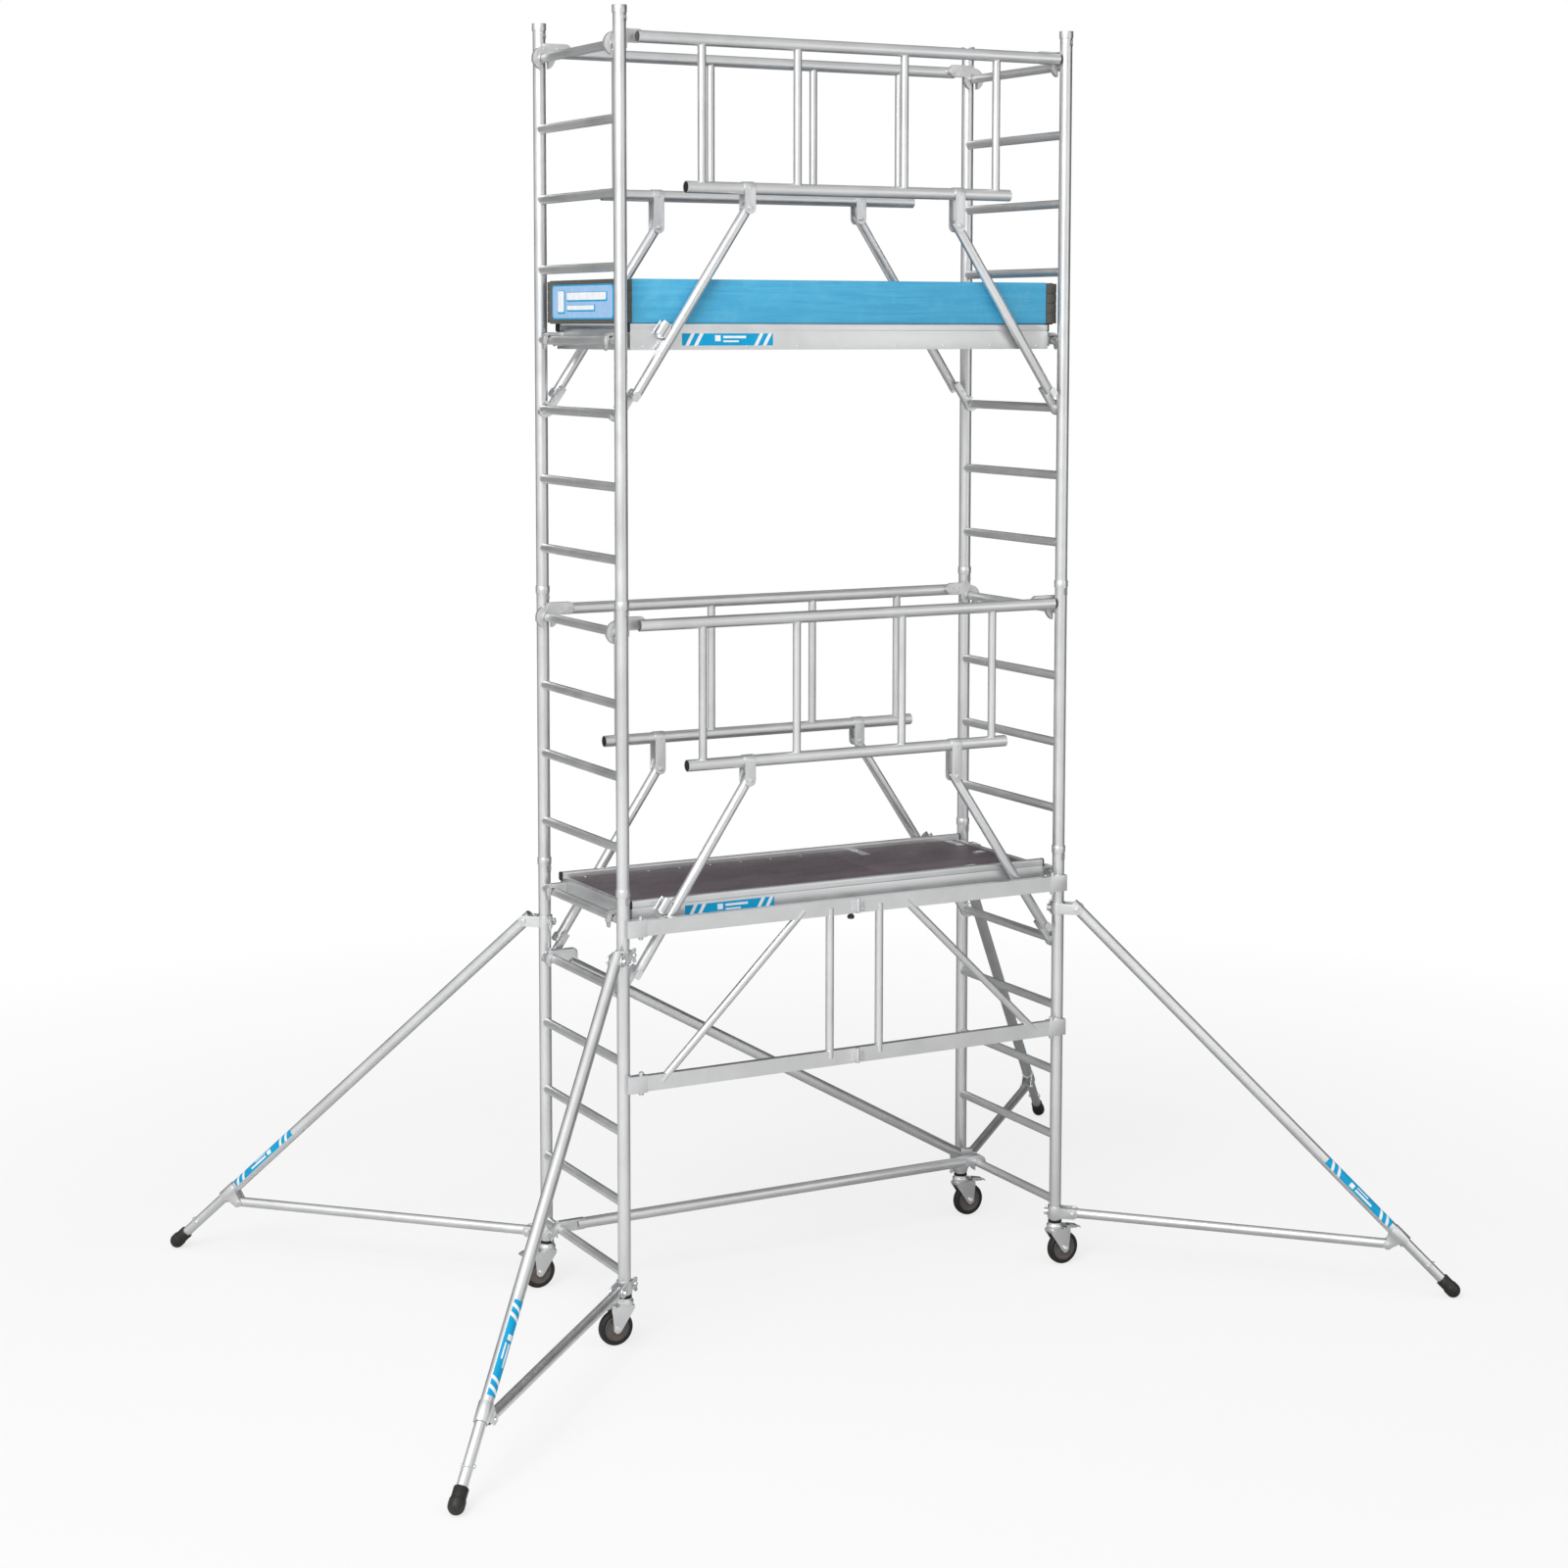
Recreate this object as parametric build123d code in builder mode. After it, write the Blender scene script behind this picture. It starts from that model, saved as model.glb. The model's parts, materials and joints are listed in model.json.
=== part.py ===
from build123d import *

import os
from math import atan2, cos, hypot, sin

# Mobile aluminium tower scaffold with two decks, guardrail frames, four castors and four
# outrigger stabilisers. Millimetres; +X runs along the tower, +Y towards the back, +Z up.
# The origin is the middle of the footprint on the floor.

# ---- driving dimensions -------------------------------------------------------------------
HALF_LENGTH = 900.0  # upright centres, along X
HALF_WIDTH = 340.0  # upright centres, along Y
RUNG_PITCH = 250.0
UPRIGHT_R = 22.5
UPRIGHT_WALL = 2.5
RUNG_R = 16.0
RUNG_WALL = 2.0
JOINT_GAP = 0.1  # clearance that keeps welded neighbours separate solids

FRAME_FOOT = 176.0  # lower end of the base frame uprights
BASE_TOP = 1612.0
MIDDLE_TOP = 2610.0
TOP_TOP = 4625.0
SOCKET_DEPTH = 60.0
SOCKET_BORE_R = 20.5
SPIGOT_R = 19.95
SPIGOT_REACH = 90.0
COLLAR_R = 25.4
COLLAR_HEIGHT = 26.0

WHEEL_R = 62.5
WHEEL_WIDTH = 32.0
CORE_R = 46.0
AXLE_R = 6.0
TRAIL = 35.0  # axle offset from the swivel axis
CHEEK_OFFSET = 21.5  # middle of a fork cheek from the wheel's middle
CHEEK_THICKNESS = 3.5
CROWN_LOW = 130.0
CROWN_TOP = 140.0
HEAD_TOP = 165.0
HEAD_R = 30.0
KINGPIN_R = 9.95
PEDAL_PIVOT = (48.0, 141.0)  # outward from the swivel axis, height

DECK_RUNGS = {"lower": 6, "upper": 14}
DECK_HALF_WIDTH = 310.0
DECK_HALF_LENGTH = 850.0
RAIL_LOW = -32.0  # deck side rail, heights from the rung centre
BEAD_LOW = 30.0
BEAD_TOP = 60.0
BEAD_WIDTH = 24.0
BOARD_TOP = 38.0
BOARD_THICKNESS = 10.0
BOARD_HALF_WIDTH = 282.0
HATCH_LOW_X = 238.0
HATCH_HIGH_X = 824.0

TOE_BOARD_HEIGHT = 150.0
TOE_BOARD_THICKNESS = 18.0
TOE_LOW = DECK_RUNGS["upper"] * RUNG_PITCH + BEAD_TOP + 1
TOE_OUTER_Y = DECK_HALF_WIDTH - 1
TOE_CORNER_X = 843.0
TOE_END_X = 884.0
TOE_END_HALF_WIDTH = 262.0

GUARD_Y = 335.0
GUARD_R = 21.0
GUARD_RUNGS = {"lower": 10, "upper": 18}
GUARD_LIFT = 24.0  # top rail axis above its rung
GUARD_DROP = 500.0  # middle rail below the top rail
BALUSTER_R = 14.5
BALUSTERS = (-588.0, -215.0, 217.0, 602.0)
MIDDLE_RAIL = (-650.0, 660.0)
# bracket place along the rail, and its pivot below the middle rail's axis
BRACKETS = {"short": (-412.0, 67.0), "tall": (440.0, 115.0)}
BRACE_R = 18.0
BRACE_RUNG_DROP = 5  # rungs from the guardrail's rung down to the brace's rung
PIVOT_BOLT_R = 5.0

CLAW_BORE_R = 16.4
CLAW_LIP = 14.0

TRUSS_Y = -377.5
TRUSS_HEIGHTS = (930.0, 1478.0)
TRUSS_SECTION = (24.0, 55.0)
TRUSS_WALL = 2.5
TRUSS_HALF_LENGTH = 893.0
TRUSS_POST_X = 102.0

LEG_R = 21.5
LEG_BORE_R = 18.6
INNER_LEG_R = 18.5
STRUT_R = 18.0
LEG_PIVOT = (75.0, 1375.0)  # out from the upright's axis, height
STRUT_PIVOT = (70.0, 205.0)
FOOT_R = 27.0
LEG_LENGTH = 1700.0
STRUT_END_ON_LEG = 1665.0
STRUT_END_OFFSET = 52.0
COUPLER_BORE_R = 22.8
COUPLER_R = 28.0
# where each stabiliser's foot stands: distance from the upright along X and along Y
STABILISER_FEET = {
    "front_left": (1060.0, 1080.0),
    "front_right": (1085.0, 1000.0),
    "back_left": (1085.0, 1080.0),
    "back_right": (1080.0, 1075.0),
}

CORNERS = {
    "front_left": (-1, -1),
    "front_right": (1, -1),
    "back_left": (-1, 1),
    "back_right": (1, 1),
}
SIDES = {"left": -1, "right": 1}
FACES = {"front": -1, "back": 1}


# ---- helpers ------------------------------------------------------------------------------
def save(part, label):
    """Name a finished sub-part and write its STEP file."""
    part.label = label
    export_step(part, f"parts/{label}.step")


def rod(start, end, radius, mode=Mode.ADD):
    """Add a solid round bar from start to end to the part that is open."""
    axis = Vector(*end) - Vector(*start)
    with BuildSketch(Plane(origin=start, z_dir=axis)) as section:
        Circle(radius)
    extrude(section.sketch, amount=axis.length, mode=mode)


def tube(start, end, radius, wall):
    """Add a round tube from start to end to the part that is open."""
    axis = Vector(*end) - Vector(*start)
    with BuildSketch(Plane(origin=start, z_dir=axis)) as section:
        Circle(radius)
        Circle(radius - wall, mode=Mode.SUBTRACT)
    extrude(section.sketch, amount=axis.length)


def block(low, high, mode=Mode.ADD):
    """Add a box between two opposite corners to the part that is open."""
    size = Vector(*high) - Vector(*low)
    middle = (Vector(*high) + Vector(*low)) * 0.5
    with Locations(middle):
        Box(size.X, size.Y, size.Z, mode=mode)


def claw(centre, mouth, arm, thickness, outer, arm_reach, arm_span):
    """Add a hook plate that holds a rung: it opens along mouth and its arm runs along arm."""
    normal = Vector(*mouth).cross(Vector(*arm))
    with BuildSketch(Plane(origin=centre, x_dir=mouth, z_dir=normal)) as plate:
        Circle(outer)
        with Locations((CLAW_LIP / 2, 0)):
            Rectangle(CLAW_LIP, 2 * outer)
        with Locations(((arm_span[0] + arm_span[1]) / 2, arm_reach / 2)):
            Rectangle(arm_span[1] - arm_span[0], arm_reach)
        Circle(CLAW_BORE_R, mode=Mode.SUBTRACT)
        with Locations((outer / 2, 0)):
            Rectangle(outer, 2 * CLAW_BORE_R, mode=Mode.SUBTRACT)
    extrude(plate.sketch, amount=thickness / 2, both=True)


def bolt_along_y(x, y, z, half_length, radius):
    """Add a bolt with a round head and nut, lying along Y."""
    rod((x, y - half_length, z), (x, y + half_length, z), radius)
    rod((x, y - half_length - 5, z), (x, y - half_length, z), radius + 4)
    rod((x, y + half_length, z), (x, y + half_length + 5, z), radius + 4)


# ---- end frames ---------------------------------------------------------------------------
def end_frame(side, low, high, rungs, has_spigots, has_sockets):
    """Two uprights and their rungs; the spigots plug the frame into the one below."""
    x = side * HALF_LENGTH
    with BuildPart() as frame:
        for rung in rungs:
            height = rung * RUNG_PITCH
            tube((x, -HALF_WIDTH, height), (x, HALF_WIDTH, height), RUNG_R, RUNG_WALL)
        for y in (-HALF_WIDTH, HALF_WIDTH):
            tube_top = high - SOCKET_DEPTH if has_sockets else high
            rod((x, y, low), (x, y, high), UPRIGHT_R + JOINT_GAP, mode=Mode.SUBTRACT)
            tube((x, y, low), (x, y, tube_top), UPRIGHT_R, UPRIGHT_WALL)
            if has_spigots:
                tube((x, y, low - SPIGOT_REACH), (x, y, low + SPIGOT_REACH), SPIGOT_R, 2.5)
            if has_sockets:
                tube((x, y, tube_top + JOINT_GAP), (x, y, high), UPRIGHT_R, UPRIGHT_R - SOCKET_BORE_R)
    return frame.part


def socket_collars():
    """The thickened ring at the top of every frame upright."""
    with BuildPart() as collars:
        for side, face in CORNERS.values():
            for top in (BASE_TOP, MIDDLE_TOP, TOP_TOP):
                origin = (side * HALF_LENGTH, face * HALF_WIDTH, top - COLLAR_HEIGHT)
                with BuildSketch(Plane(origin)) as ring:
                    Circle(COLLAR_R)
                    Circle(UPRIGHT_R + JOINT_GAP, mode=Mode.SUBTRACT)
                extrude(ring.sketch, amount=COLLAR_HEIGHT)
    return collars.part


def spring_clips():
    """The sprung locking clip under each collar, half round the tube."""
    height = 24.0
    with BuildPart() as clips:
        for side, face in CORNERS.values():
            for top in (BASE_TOP, MIDDLE_TOP, TOP_TOP):
                low = top - COLLAR_HEIGHT - height - 4
                with BuildSketch(Plane((side * HALF_LENGTH, face * HALF_WIDTH, low))) as band:
                    Circle(UPRIGHT_R + 1.6)
                    Circle(UPRIGHT_R + JOINT_GAP, mode=Mode.SUBTRACT)
                    with Locations((UPRIGHT_R, 0)):
                        Rectangle(2 * UPRIGHT_R, 2 * COLLAR_R, mode=Mode.INTERSECT)
                extrude(band.sketch, amount=height)
    return clips.part


def castor_sockets():
    """Stem and kingpin inside each upright's foot, with a dust ring under the tube."""
    with BuildPart() as sockets:
        for side, face in CORNERS.values():
            x = side * HALF_LENGTH
            y = face * HALF_WIDTH
            rod((x, y, FRAME_FOOT), (x, y, FRAME_FOOT + 130), 19.9)
            rod((x, y, CROWN_TOP + 3), (x, y, FRAME_FOOT), KINGPIN_R)
            with BuildSketch(Plane((x, y, HEAD_TOP + 1))) as ring:
                Circle(26)
                Circle(KINGPIN_R + 0.3, mode=Mode.SUBTRACT)
            extrude(ring.sketch, amount=FRAME_FOOT - HEAD_TOP - 1 - JOINT_GAP)
    return sockets.part


# ---- castors ------------------------------------------------------------------------------
def castor_plane(side, face, across):
    """A vertical plane beside the wheel: x points outward, y is height."""
    origin = (side * HALF_LENGTH, face * HALF_WIDTH + across, 0)
    return Plane(origin=origin, x_dir=(side, 0, 0), z_dir=(0, -side, 0))


def castor_fork(side, face):
    """Pressed fork with its swivel head, the axle and the pedal's pin."""
    x = side * HALF_LENGTH
    y = face * HALF_WIDTH
    with BuildPart() as fork:
        for across in (-CHEEK_OFFSET, CHEEK_OFFSET):
            with BuildSketch(castor_plane(side, face, across)) as cheek:
                with BuildLine():
                    Polyline(
                        (-30, CROWN_LOW),
                        (-30, CROWN_TOP),
                        (44, CROWN_TOP),
                        (48, 148),
                        (57, 148),
                        (57, CROWN_LOW - 4),
                        (TRAIL + 16, WHEEL_R + 10),
                        (TRAIL + 16, WHEEL_R - 6),
                        (TRAIL + 6, WHEEL_R - 16),
                        (TRAIL - 6, WHEEL_R - 16),
                        (TRAIL - 15, WHEEL_R - 6),
                        (-30, CROWN_LOW),
                    )
                make_face()
                with Locations((TRAIL, WHEEL_R)):
                    Circle(AXLE_R + 0.05, mode=Mode.SUBTRACT)
                with Locations(PEDAL_PIVOT):
                    Circle(3.05, mode=Mode.SUBTRACT)
            extrude(cheek.sketch, amount=CHEEK_THICKNESS / 2, both=True)
        half = CHEEK_OFFSET + CHEEK_THICKNESS / 2
        block((x - 30, y - half, CROWN_LOW), (x + 30, y + half, CROWN_TOP))
        rod((x, y, CROWN_TOP), (x, y, HEAD_TOP - 7), HEAD_R)
        rod((x, y, HEAD_TOP - 7), (x, y, HEAD_TOP), HEAD_R - 5)
        rod((x, y, CROWN_TOP + 2), (x, y, HEAD_TOP), KINGPIN_R + 0.05, mode=Mode.SUBTRACT)
        axle_x = x + side * TRAIL
        bolt_along_y(axle_x, y, WHEEL_R, half + 0.2, AXLE_R)
        pin_x = x + side * PEDAL_PIVOT[0]
        rod((pin_x, y - half - 2, PEDAL_PIVOT[1]), (pin_x, y + half + 2, PEDAL_PIVOT[1]), 3)
    return fork.part


def castor_wheel(side, face):
    """Tyre on a moulded core with a plain bore."""
    with BuildPart() as wheel:
        with BuildSketch(castor_plane(side, face, 0)) as tread:
            with Locations((TRAIL, WHEEL_R)):
                Circle(WHEEL_R)
                Circle(CORE_R, mode=Mode.SUBTRACT)
        extrude(tread.sketch, amount=WHEEL_WIDTH / 2, both=True)
        outer_edges = wheel.edges().filter_by(GeomType.CIRCLE).sort_by(SortBy.RADIUS)[-2:]
        fillet(outer_edges, radius=7)
        with BuildSketch(castor_plane(side, face, 0)) as disc:
            with Locations((TRAIL, WHEEL_R)):
                Circle(CORE_R - 0.05)
                Circle(AXLE_R + 0.05, mode=Mode.SUBTRACT)
        extrude(disc.sketch, amount=12, both=True)
        with BuildSketch(castor_plane(side, face, 0)) as hub:
            with Locations((TRAIL, WHEEL_R)):
                Circle(17)
                Circle(AXLE_R + 0.05, mode=Mode.SUBTRACT)
        extrude(hub.sketch, amount=18.5, both=True)
    return wheel.part


def castor_pedal(side, face):
    """Brake pedal: a bent plate that tips on its pin and presses on the tyre."""
    with BuildPart() as pedal:
        with BuildSketch(castor_plane(side, face, 0)) as profile:
            with BuildLine():
                Polyline(
                    (46, 146),
                    (62, 149),
                    (98, 141),
                    (108, 134),
                    (106, 130.5),
                    (96, 136.5),
                    (62, 144),
                    (50, 136),
                    (46, 146),
                )
            make_face()
            with Locations(PEDAL_PIVOT):
                Circle(6)
                Circle(3.05, mode=Mode.SUBTRACT)
        extrude(profile.sketch, amount=17.5, both=True)
    return pedal.part


# ---- folding truss ------------------------------------------------------------------------
def truss_half(side):
    """Two flat rails, a round post and a round diagonal."""
    low_z, high_z = TRUSS_HEIGHTS
    inner = side * 0.5
    outer = side * TRUSS_HALF_LENGTH
    with BuildPart() as truss:
        post_x = side * TRUSS_POST_X
        tube((post_x, TRUSS_Y, low_z), (post_x, TRUSS_Y, high_z), 15, 1.8)
        tube((side * 210, TRUSS_Y, high_z), (side * 773, TRUSS_Y, low_z), 14, 1.8)
        half_depth = TRUSS_SECTION[0] / 2 + JOINT_GAP
        half_height = TRUSS_SECTION[1] / 2 + JOINT_GAP
        for z in TRUSS_HEIGHTS:
            low = (min(inner, outer), TRUSS_Y - half_depth, z - half_height)
            high = (max(inner, outer), TRUSS_Y + half_depth, z + half_height)
            block(low, high, mode=Mode.SUBTRACT)
        for z in TRUSS_HEIGHTS:
            end_plane = Plane(origin=(inner, TRUSS_Y, z), x_dir=(0, 1, 0), z_dir=(side, 0, 0))
            with BuildSketch(end_plane) as rail:
                Rectangle(*TRUSS_SECTION)
                offset(amount=-TRUSS_WALL, mode=Mode.SUBTRACT)
            extrude(rail.sketch, amount=TRUSS_HALF_LENGTH - 0.5)
    return truss.part


def truss_fittings():
    """End brackets at the uprights, the two middle hinges and the lock knob."""
    depth = TRUSS_SECTION[0] / 2
    height = TRUSS_SECTION[1] / 2
    with BuildPart() as fittings:
        for z in TRUSS_HEIGHTS:
            for side in SIDES.values():
                near = side * 832
                far = side * 906
                low = (min(near, far), TRUSS_Y - depth - 2.8, z - height - 2.8)
                high = (max(near, far), TRUSS_Y + depth + 2.8, z + height + 2.8)
                block(low, high)
                slot_end = side * (TRUSS_HALF_LENGTH + 0.5)
                low = (min(near, slot_end), TRUSS_Y - depth - 0.2, z - height - 0.2)
                high = (max(near, slot_end), TRUSS_Y + depth + 0.2, z + height + 0.2)
                block(low, high, mode=Mode.SUBTRACT)
                for end in (-1, 1):
                    cap_z = z + end * (height + 2.9)
                    rod((side * 850, TRUSS_Y, cap_z), (side * 850, TRUSS_Y, cap_z + end * 6), 7)
            front = TRUSS_Y - depth
            block((-24, front - 2.6, z - 22), (2, front - 0.2, z + 22))
            block((8, front - 2.6, z - 22), (34, front - 0.2, z + 22))
            rod((5, front - 6, z - height), (5, front - 6, z + height), 5.5)
        knob_top = TRUSS_HEIGHTS[1] - height - 0.2
        rod((-16, TRUSS_Y, knob_top - 8), (-16, TRUSS_Y, knob_top), 9)
        rod((-16, TRUSS_Y, knob_top - 20), (-16, TRUSS_Y, knob_top - 8), 13)
    return fittings.part


# ---- decks --------------------------------------------------------------------------------
def deck_frame(level):
    """Two extruded side rails with a round-topped bead, end beams and cross beams."""
    base = level * RUNG_PITCH
    with BuildPart() as frame:
        for face in FACES.values():
            edge = face * DECK_HALF_WIDTH
            bead_y = edge - face * BEAD_WIDTH / 2
            start = Plane(origin=(-DECK_HALF_LENGTH, 0, base), x_dir=(0, 1, 0), z_dir=(1, 0, 0))
            with BuildSketch(start) as profile:
                with Locations((bead_y, (BEAD_LOW + BEAD_TOP) / 2)):
                    RectangleRounded(BEAD_WIDTH, BEAD_TOP - BEAD_LOW, 8)
                with Locations((edge - face * 2.5, (RAIL_LOW + BEAD_LOW) / 2 + 2)):
                    Rectangle(3, BEAD_LOW - RAIL_LOW + 4)
                with Locations((bead_y, RAIL_LOW + 1.5)):
                    Rectangle(BEAD_WIDTH - 2, 3)
                with Locations((edge - face * 19, BOARD_TOP - BOARD_THICKNESS - 1.8)):
                    Rectangle(36, 3)
                with Locations((bead_y, (BEAD_LOW + BEAD_TOP) / 2)):
                    RectangleRounded(BEAD_WIDTH - 5, BEAD_TOP - BEAD_LOW - 5, 5.5, mode=Mode.SUBTRACT)
            extrude(profile.sketch, amount=2 * DECK_HALF_LENGTH)
        inside = DECK_HALF_WIDTH - BEAD_WIDTH - 0.5
        for side in SIDES.values():
            near = side * 826
            far = side * 848
            low = (min(near, far), -inside, base + BOARD_TOP - BOARD_THICKNESS)
            high = (max(near, far), inside, base + BOARD_TOP + 2)
            block(low, high)
            narrow = DECK_HALF_WIDTH - 38
            block((min(near, far), -narrow, base + RAIL_LOW), (max(near, far), narrow, high[2]))
        beam_end = DECK_HALF_WIDTH - 5
        for x in (-560, -290, -20, 250):
            block((x - 14, -beam_end, base - 10), (x + 14, beam_end, base + 24))
    return frame.part


def deck_boards():
    """The fixed plywood of both decks."""
    with BuildPart() as boards:
        for level in DECK_RUNGS.values():
            top = level * RUNG_PITCH + BOARD_TOP
            low = (-825.8, -BOARD_HALF_WIDTH, top - BOARD_THICKNESS)
            block(low, (HATCH_LOW_X - 3, BOARD_HALF_WIDTH, top))
    return boards.part


def hatch(level):
    """Plywood trapdoor, with two hinge straps along its back edge and two handle plates."""
    top = level * RUNG_PITCH + BOARD_TOP
    with BuildPart() as door:
        low = (HATCH_LOW_X, -BOARD_HALF_WIDTH, top - BOARD_THICKNESS)
        block(low, (HATCH_HIGH_X, BOARD_HALF_WIDTH, top))
        for x in (365, 790):
            block((x - 17, BOARD_HALF_WIDTH - 110, top + 0.1), (x + 17, BOARD_HALF_WIDTH - 1, top + 2.5))
    return door.part


def deck_claws():
    """Hooks on the deck's end beams that hang on the rungs."""
    with BuildPart() as claws:
        for level in DECK_RUNGS.values():
            for side in SIDES.values():
                for y in (-262, 262):
                    centre = (side * HALF_LENGTH, y, level * RUNG_PITCH)
                    claw(centre, (0, 0, -1), (-side, 0, 0), 20, 28, 51.8, (-28, 20))
    return claws.part


def plastic_caps():
    """Black plugs in the open ends of the deck rails' beads."""
    with BuildPart() as caps:
        for level in DECK_RUNGS.values():
            for side in SIDES.values():
                for face in FACES.values():
                    y = face * (DECK_HALF_WIDTH - BEAD_WIDTH / 2)
                    z = level * RUNG_PITCH + (BEAD_LOW + BEAD_TOP) / 2
                    start = (side * (DECK_HALF_LENGTH + JOINT_GAP), y, z)
                    with BuildSketch(Plane(origin=start, x_dir=(0, 1, 0), z_dir=(side, 0, 0))) as cap:
                        RectangleRounded(BEAD_WIDTH + 1, BEAD_TOP - BEAD_LOW + 1, 8.4)
                    extrude(cap.sketch, amount=6)
    return caps.part


# ---- toe boards ---------------------------------------------------------------------------
def toe_boards():
    """Two long boards and two end boards standing round the upper deck."""
    top = TOE_LOW + TOE_BOARD_HEIGHT
    with BuildPart() as boards:
        for face in FACES.values():
            near = face * (TOE_OUTER_Y - TOE_BOARD_THICKNESS)
            far = face * TOE_OUTER_Y
            low = (-TOE_CORNER_X, min(near, far), TOE_LOW)
            block(low, (TOE_CORNER_X, max(near, far), top))
        for side in SIDES.values():
            near = side * (TOE_END_X - TOE_BOARD_THICKNESS)
            far = side * TOE_END_X
            low = (min(near, far), -TOE_END_HALF_WIDTH, TOE_LOW)
            block(low, (max(near, far), TOE_END_HALF_WIDTH, top))
    return boards.part


def toe_board_brackets():
    """Corner brackets that join the toe boards."""
    top = TOE_LOW + TOE_BOARD_HEIGHT - 3
    with BuildPart() as brackets:
        for side, face in CORNERS.values():
            x_far = side * (TOE_END_X + 3)
            x_near = side * (TOE_CORNER_X + JOINT_GAP)
            y_far = face * (TOE_OUTER_Y + 2)
            y_near = face * (TOE_OUTER_Y - TOE_BOARD_THICKNESS - 2)
            low = (min(x_far, x_near), min(y_far, y_near), TOE_LOW)
            high = (max(x_far, x_near), max(y_far, y_near), top)
            block(low, high)
            x_in = side * (TOE_END_X - TOE_BOARD_THICKNESS - 3)
            y_in = face * (TOE_END_HALF_WIDTH + JOINT_GAP)
            low = (min(x_far, x_in), min(y_far, y_in), TOE_LOW)
            high = (max(x_far, x_in), max(y_far, y_in), top)
            block(low, high)
    return brackets.part


# ---- guardrails and their braces ----------------------------------------------------------
def guardrail(face, level):
    """Top rail, middle rail and balusters; the back one is the front one turned half round."""
    turn = -face
    y = face * GUARD_Y
    top_z = level * RUNG_PITCH + GUARD_LIFT
    middle_z = top_z - GUARD_DROP
    ends = ((-832, 868, top_z), (MIDDLE_RAIL[0], MIDDLE_RAIL[1], middle_z))
    with BuildPart() as rails:
        for along in BALUSTERS:
            tube((turn * along, y, middle_z), (turn * along, y, top_z), BALUSTER_R, 1.8)
        for low, high, z in ends:
            rod((turn * low, y, z), (turn * high, y, z), GUARD_R + JOINT_GAP, mode=Mode.SUBTRACT)
        for low, high, z in ends:
            tube((turn * low, y, z), (turn * high, y, z), GUARD_R, 2)
    return rails.part


def guardrail_claws():
    """Hook plates on the inner side of each top rail's ends."""
    with BuildPart() as claws:
        for level in GUARD_RUNGS.values():
            for side, face in CORNERS.values():
                centre = (side * HALF_LENGTH, face * 303, level * RUNG_PITCH)
                claw(centre, (0, 0, -1), (-side, 0, 0), 20, 42, 105, (-52, -6))
    return claws.part


def guardrail_brackets():
    """Stirrups over the middle rails, each with the pivot bolt of a brace."""
    with BuildPart() as brackets:
        for level in GUARD_RUNGS.values():
            middle_z = level * RUNG_PITCH + GUARD_LIFT - GUARD_DROP
            for face in FACES.values():
                y = face * GUARD_Y
                for along, drop in BRACKETS.values():
                    x = -face * along
                    rod((x - 21, y, middle_z), (x + 21, y, middle_z), GUARD_R + 3)
                    for cheek in (-1, 1):
                        origin = (x, y + cheek * (GUARD_R + 1.5), middle_z)
                        side_plane = Plane(origin=origin, x_dir=(1, 0, 0), z_dir=(0, -1, 0))
                        with BuildSketch(side_plane) as outline:
                            with Locations((0, -drop / 2)):
                                Rectangle(42, drop)
                            with Locations((0, -drop)):
                                Circle(21)
                                Circle(PIVOT_BOLT_R + 0.05, mode=Mode.SUBTRACT)
                        extrude(outline.sketch, amount=1.5, both=True)
                    low = (x - 22, y - GUARD_R, middle_z - 2 * GUARD_R)
                    block(low, (x + 22, y + GUARD_R, middle_z), mode=Mode.SUBTRACT)
                    rod((x - 22, y, middle_z), (x + 22, y, middle_z), GUARD_R + 0.05, mode=Mode.SUBTRACT)
                    bolt_along_y(x, y, middle_z - drop, GUARD_R + 3.2, PIVOT_BOLT_R)
    return brackets.part


def brace(side, face, level):
    """Guardrail brace: a tube from its pivot down to a claw that grips a rung."""
    rung_x = side * HALF_LENGTH
    rung_z = (level - BRACE_RUNG_DROP) * RUNG_PITCH
    kind = "short" if side == face else "tall"
    along, drop = BRACKETS[kind]
    pivot_x = -face * along
    pivot_z = level * RUNG_PITCH + GUARD_LIFT - GUARD_DROP - drop
    reach = hypot(pivot_x - rung_x, pivot_z - rung_z)
    arm = Vector((pivot_x - rung_x) / reach, 0, (pivot_z - rung_z) / reach)
    swing = Vector(-side * arm.Z, 0, side * arm.X)
    rung = Vector(rung_x, 0, rung_z)
    pivot = Vector(pivot_x, face * GUARD_Y, pivot_z)
    lower_end = rung + arm * 82 + swing * 12 + Vector(0, face * GUARD_Y, 0)
    direction = (pivot - lower_end).normalized()
    upper_end = pivot + direction * 20
    bolt_reach = Vector(0, GUARD_R, 0)
    with BuildPart() as part:
        claw(rung + Vector(0, face * 303, 0), -swing, arm, 20, 27, 104, (-24, 2))
        boss = rung + arm * 90 + swing * 11
        rod(boss + Vector(0, face * 305, 0), boss + Vector(0, face * 328, 0), 11)
        rod(lower_end - direction * 20, upper_end, BRACE_R + JOINT_GAP, mode=Mode.SUBTRACT)
        tube(lower_end, upper_end, BRACE_R, 2)
        rod(pivot - bolt_reach, pivot + bolt_reach, PIVOT_BOLT_R + 0.06, mode=Mode.SUBTRACT)
    return part.part


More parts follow.
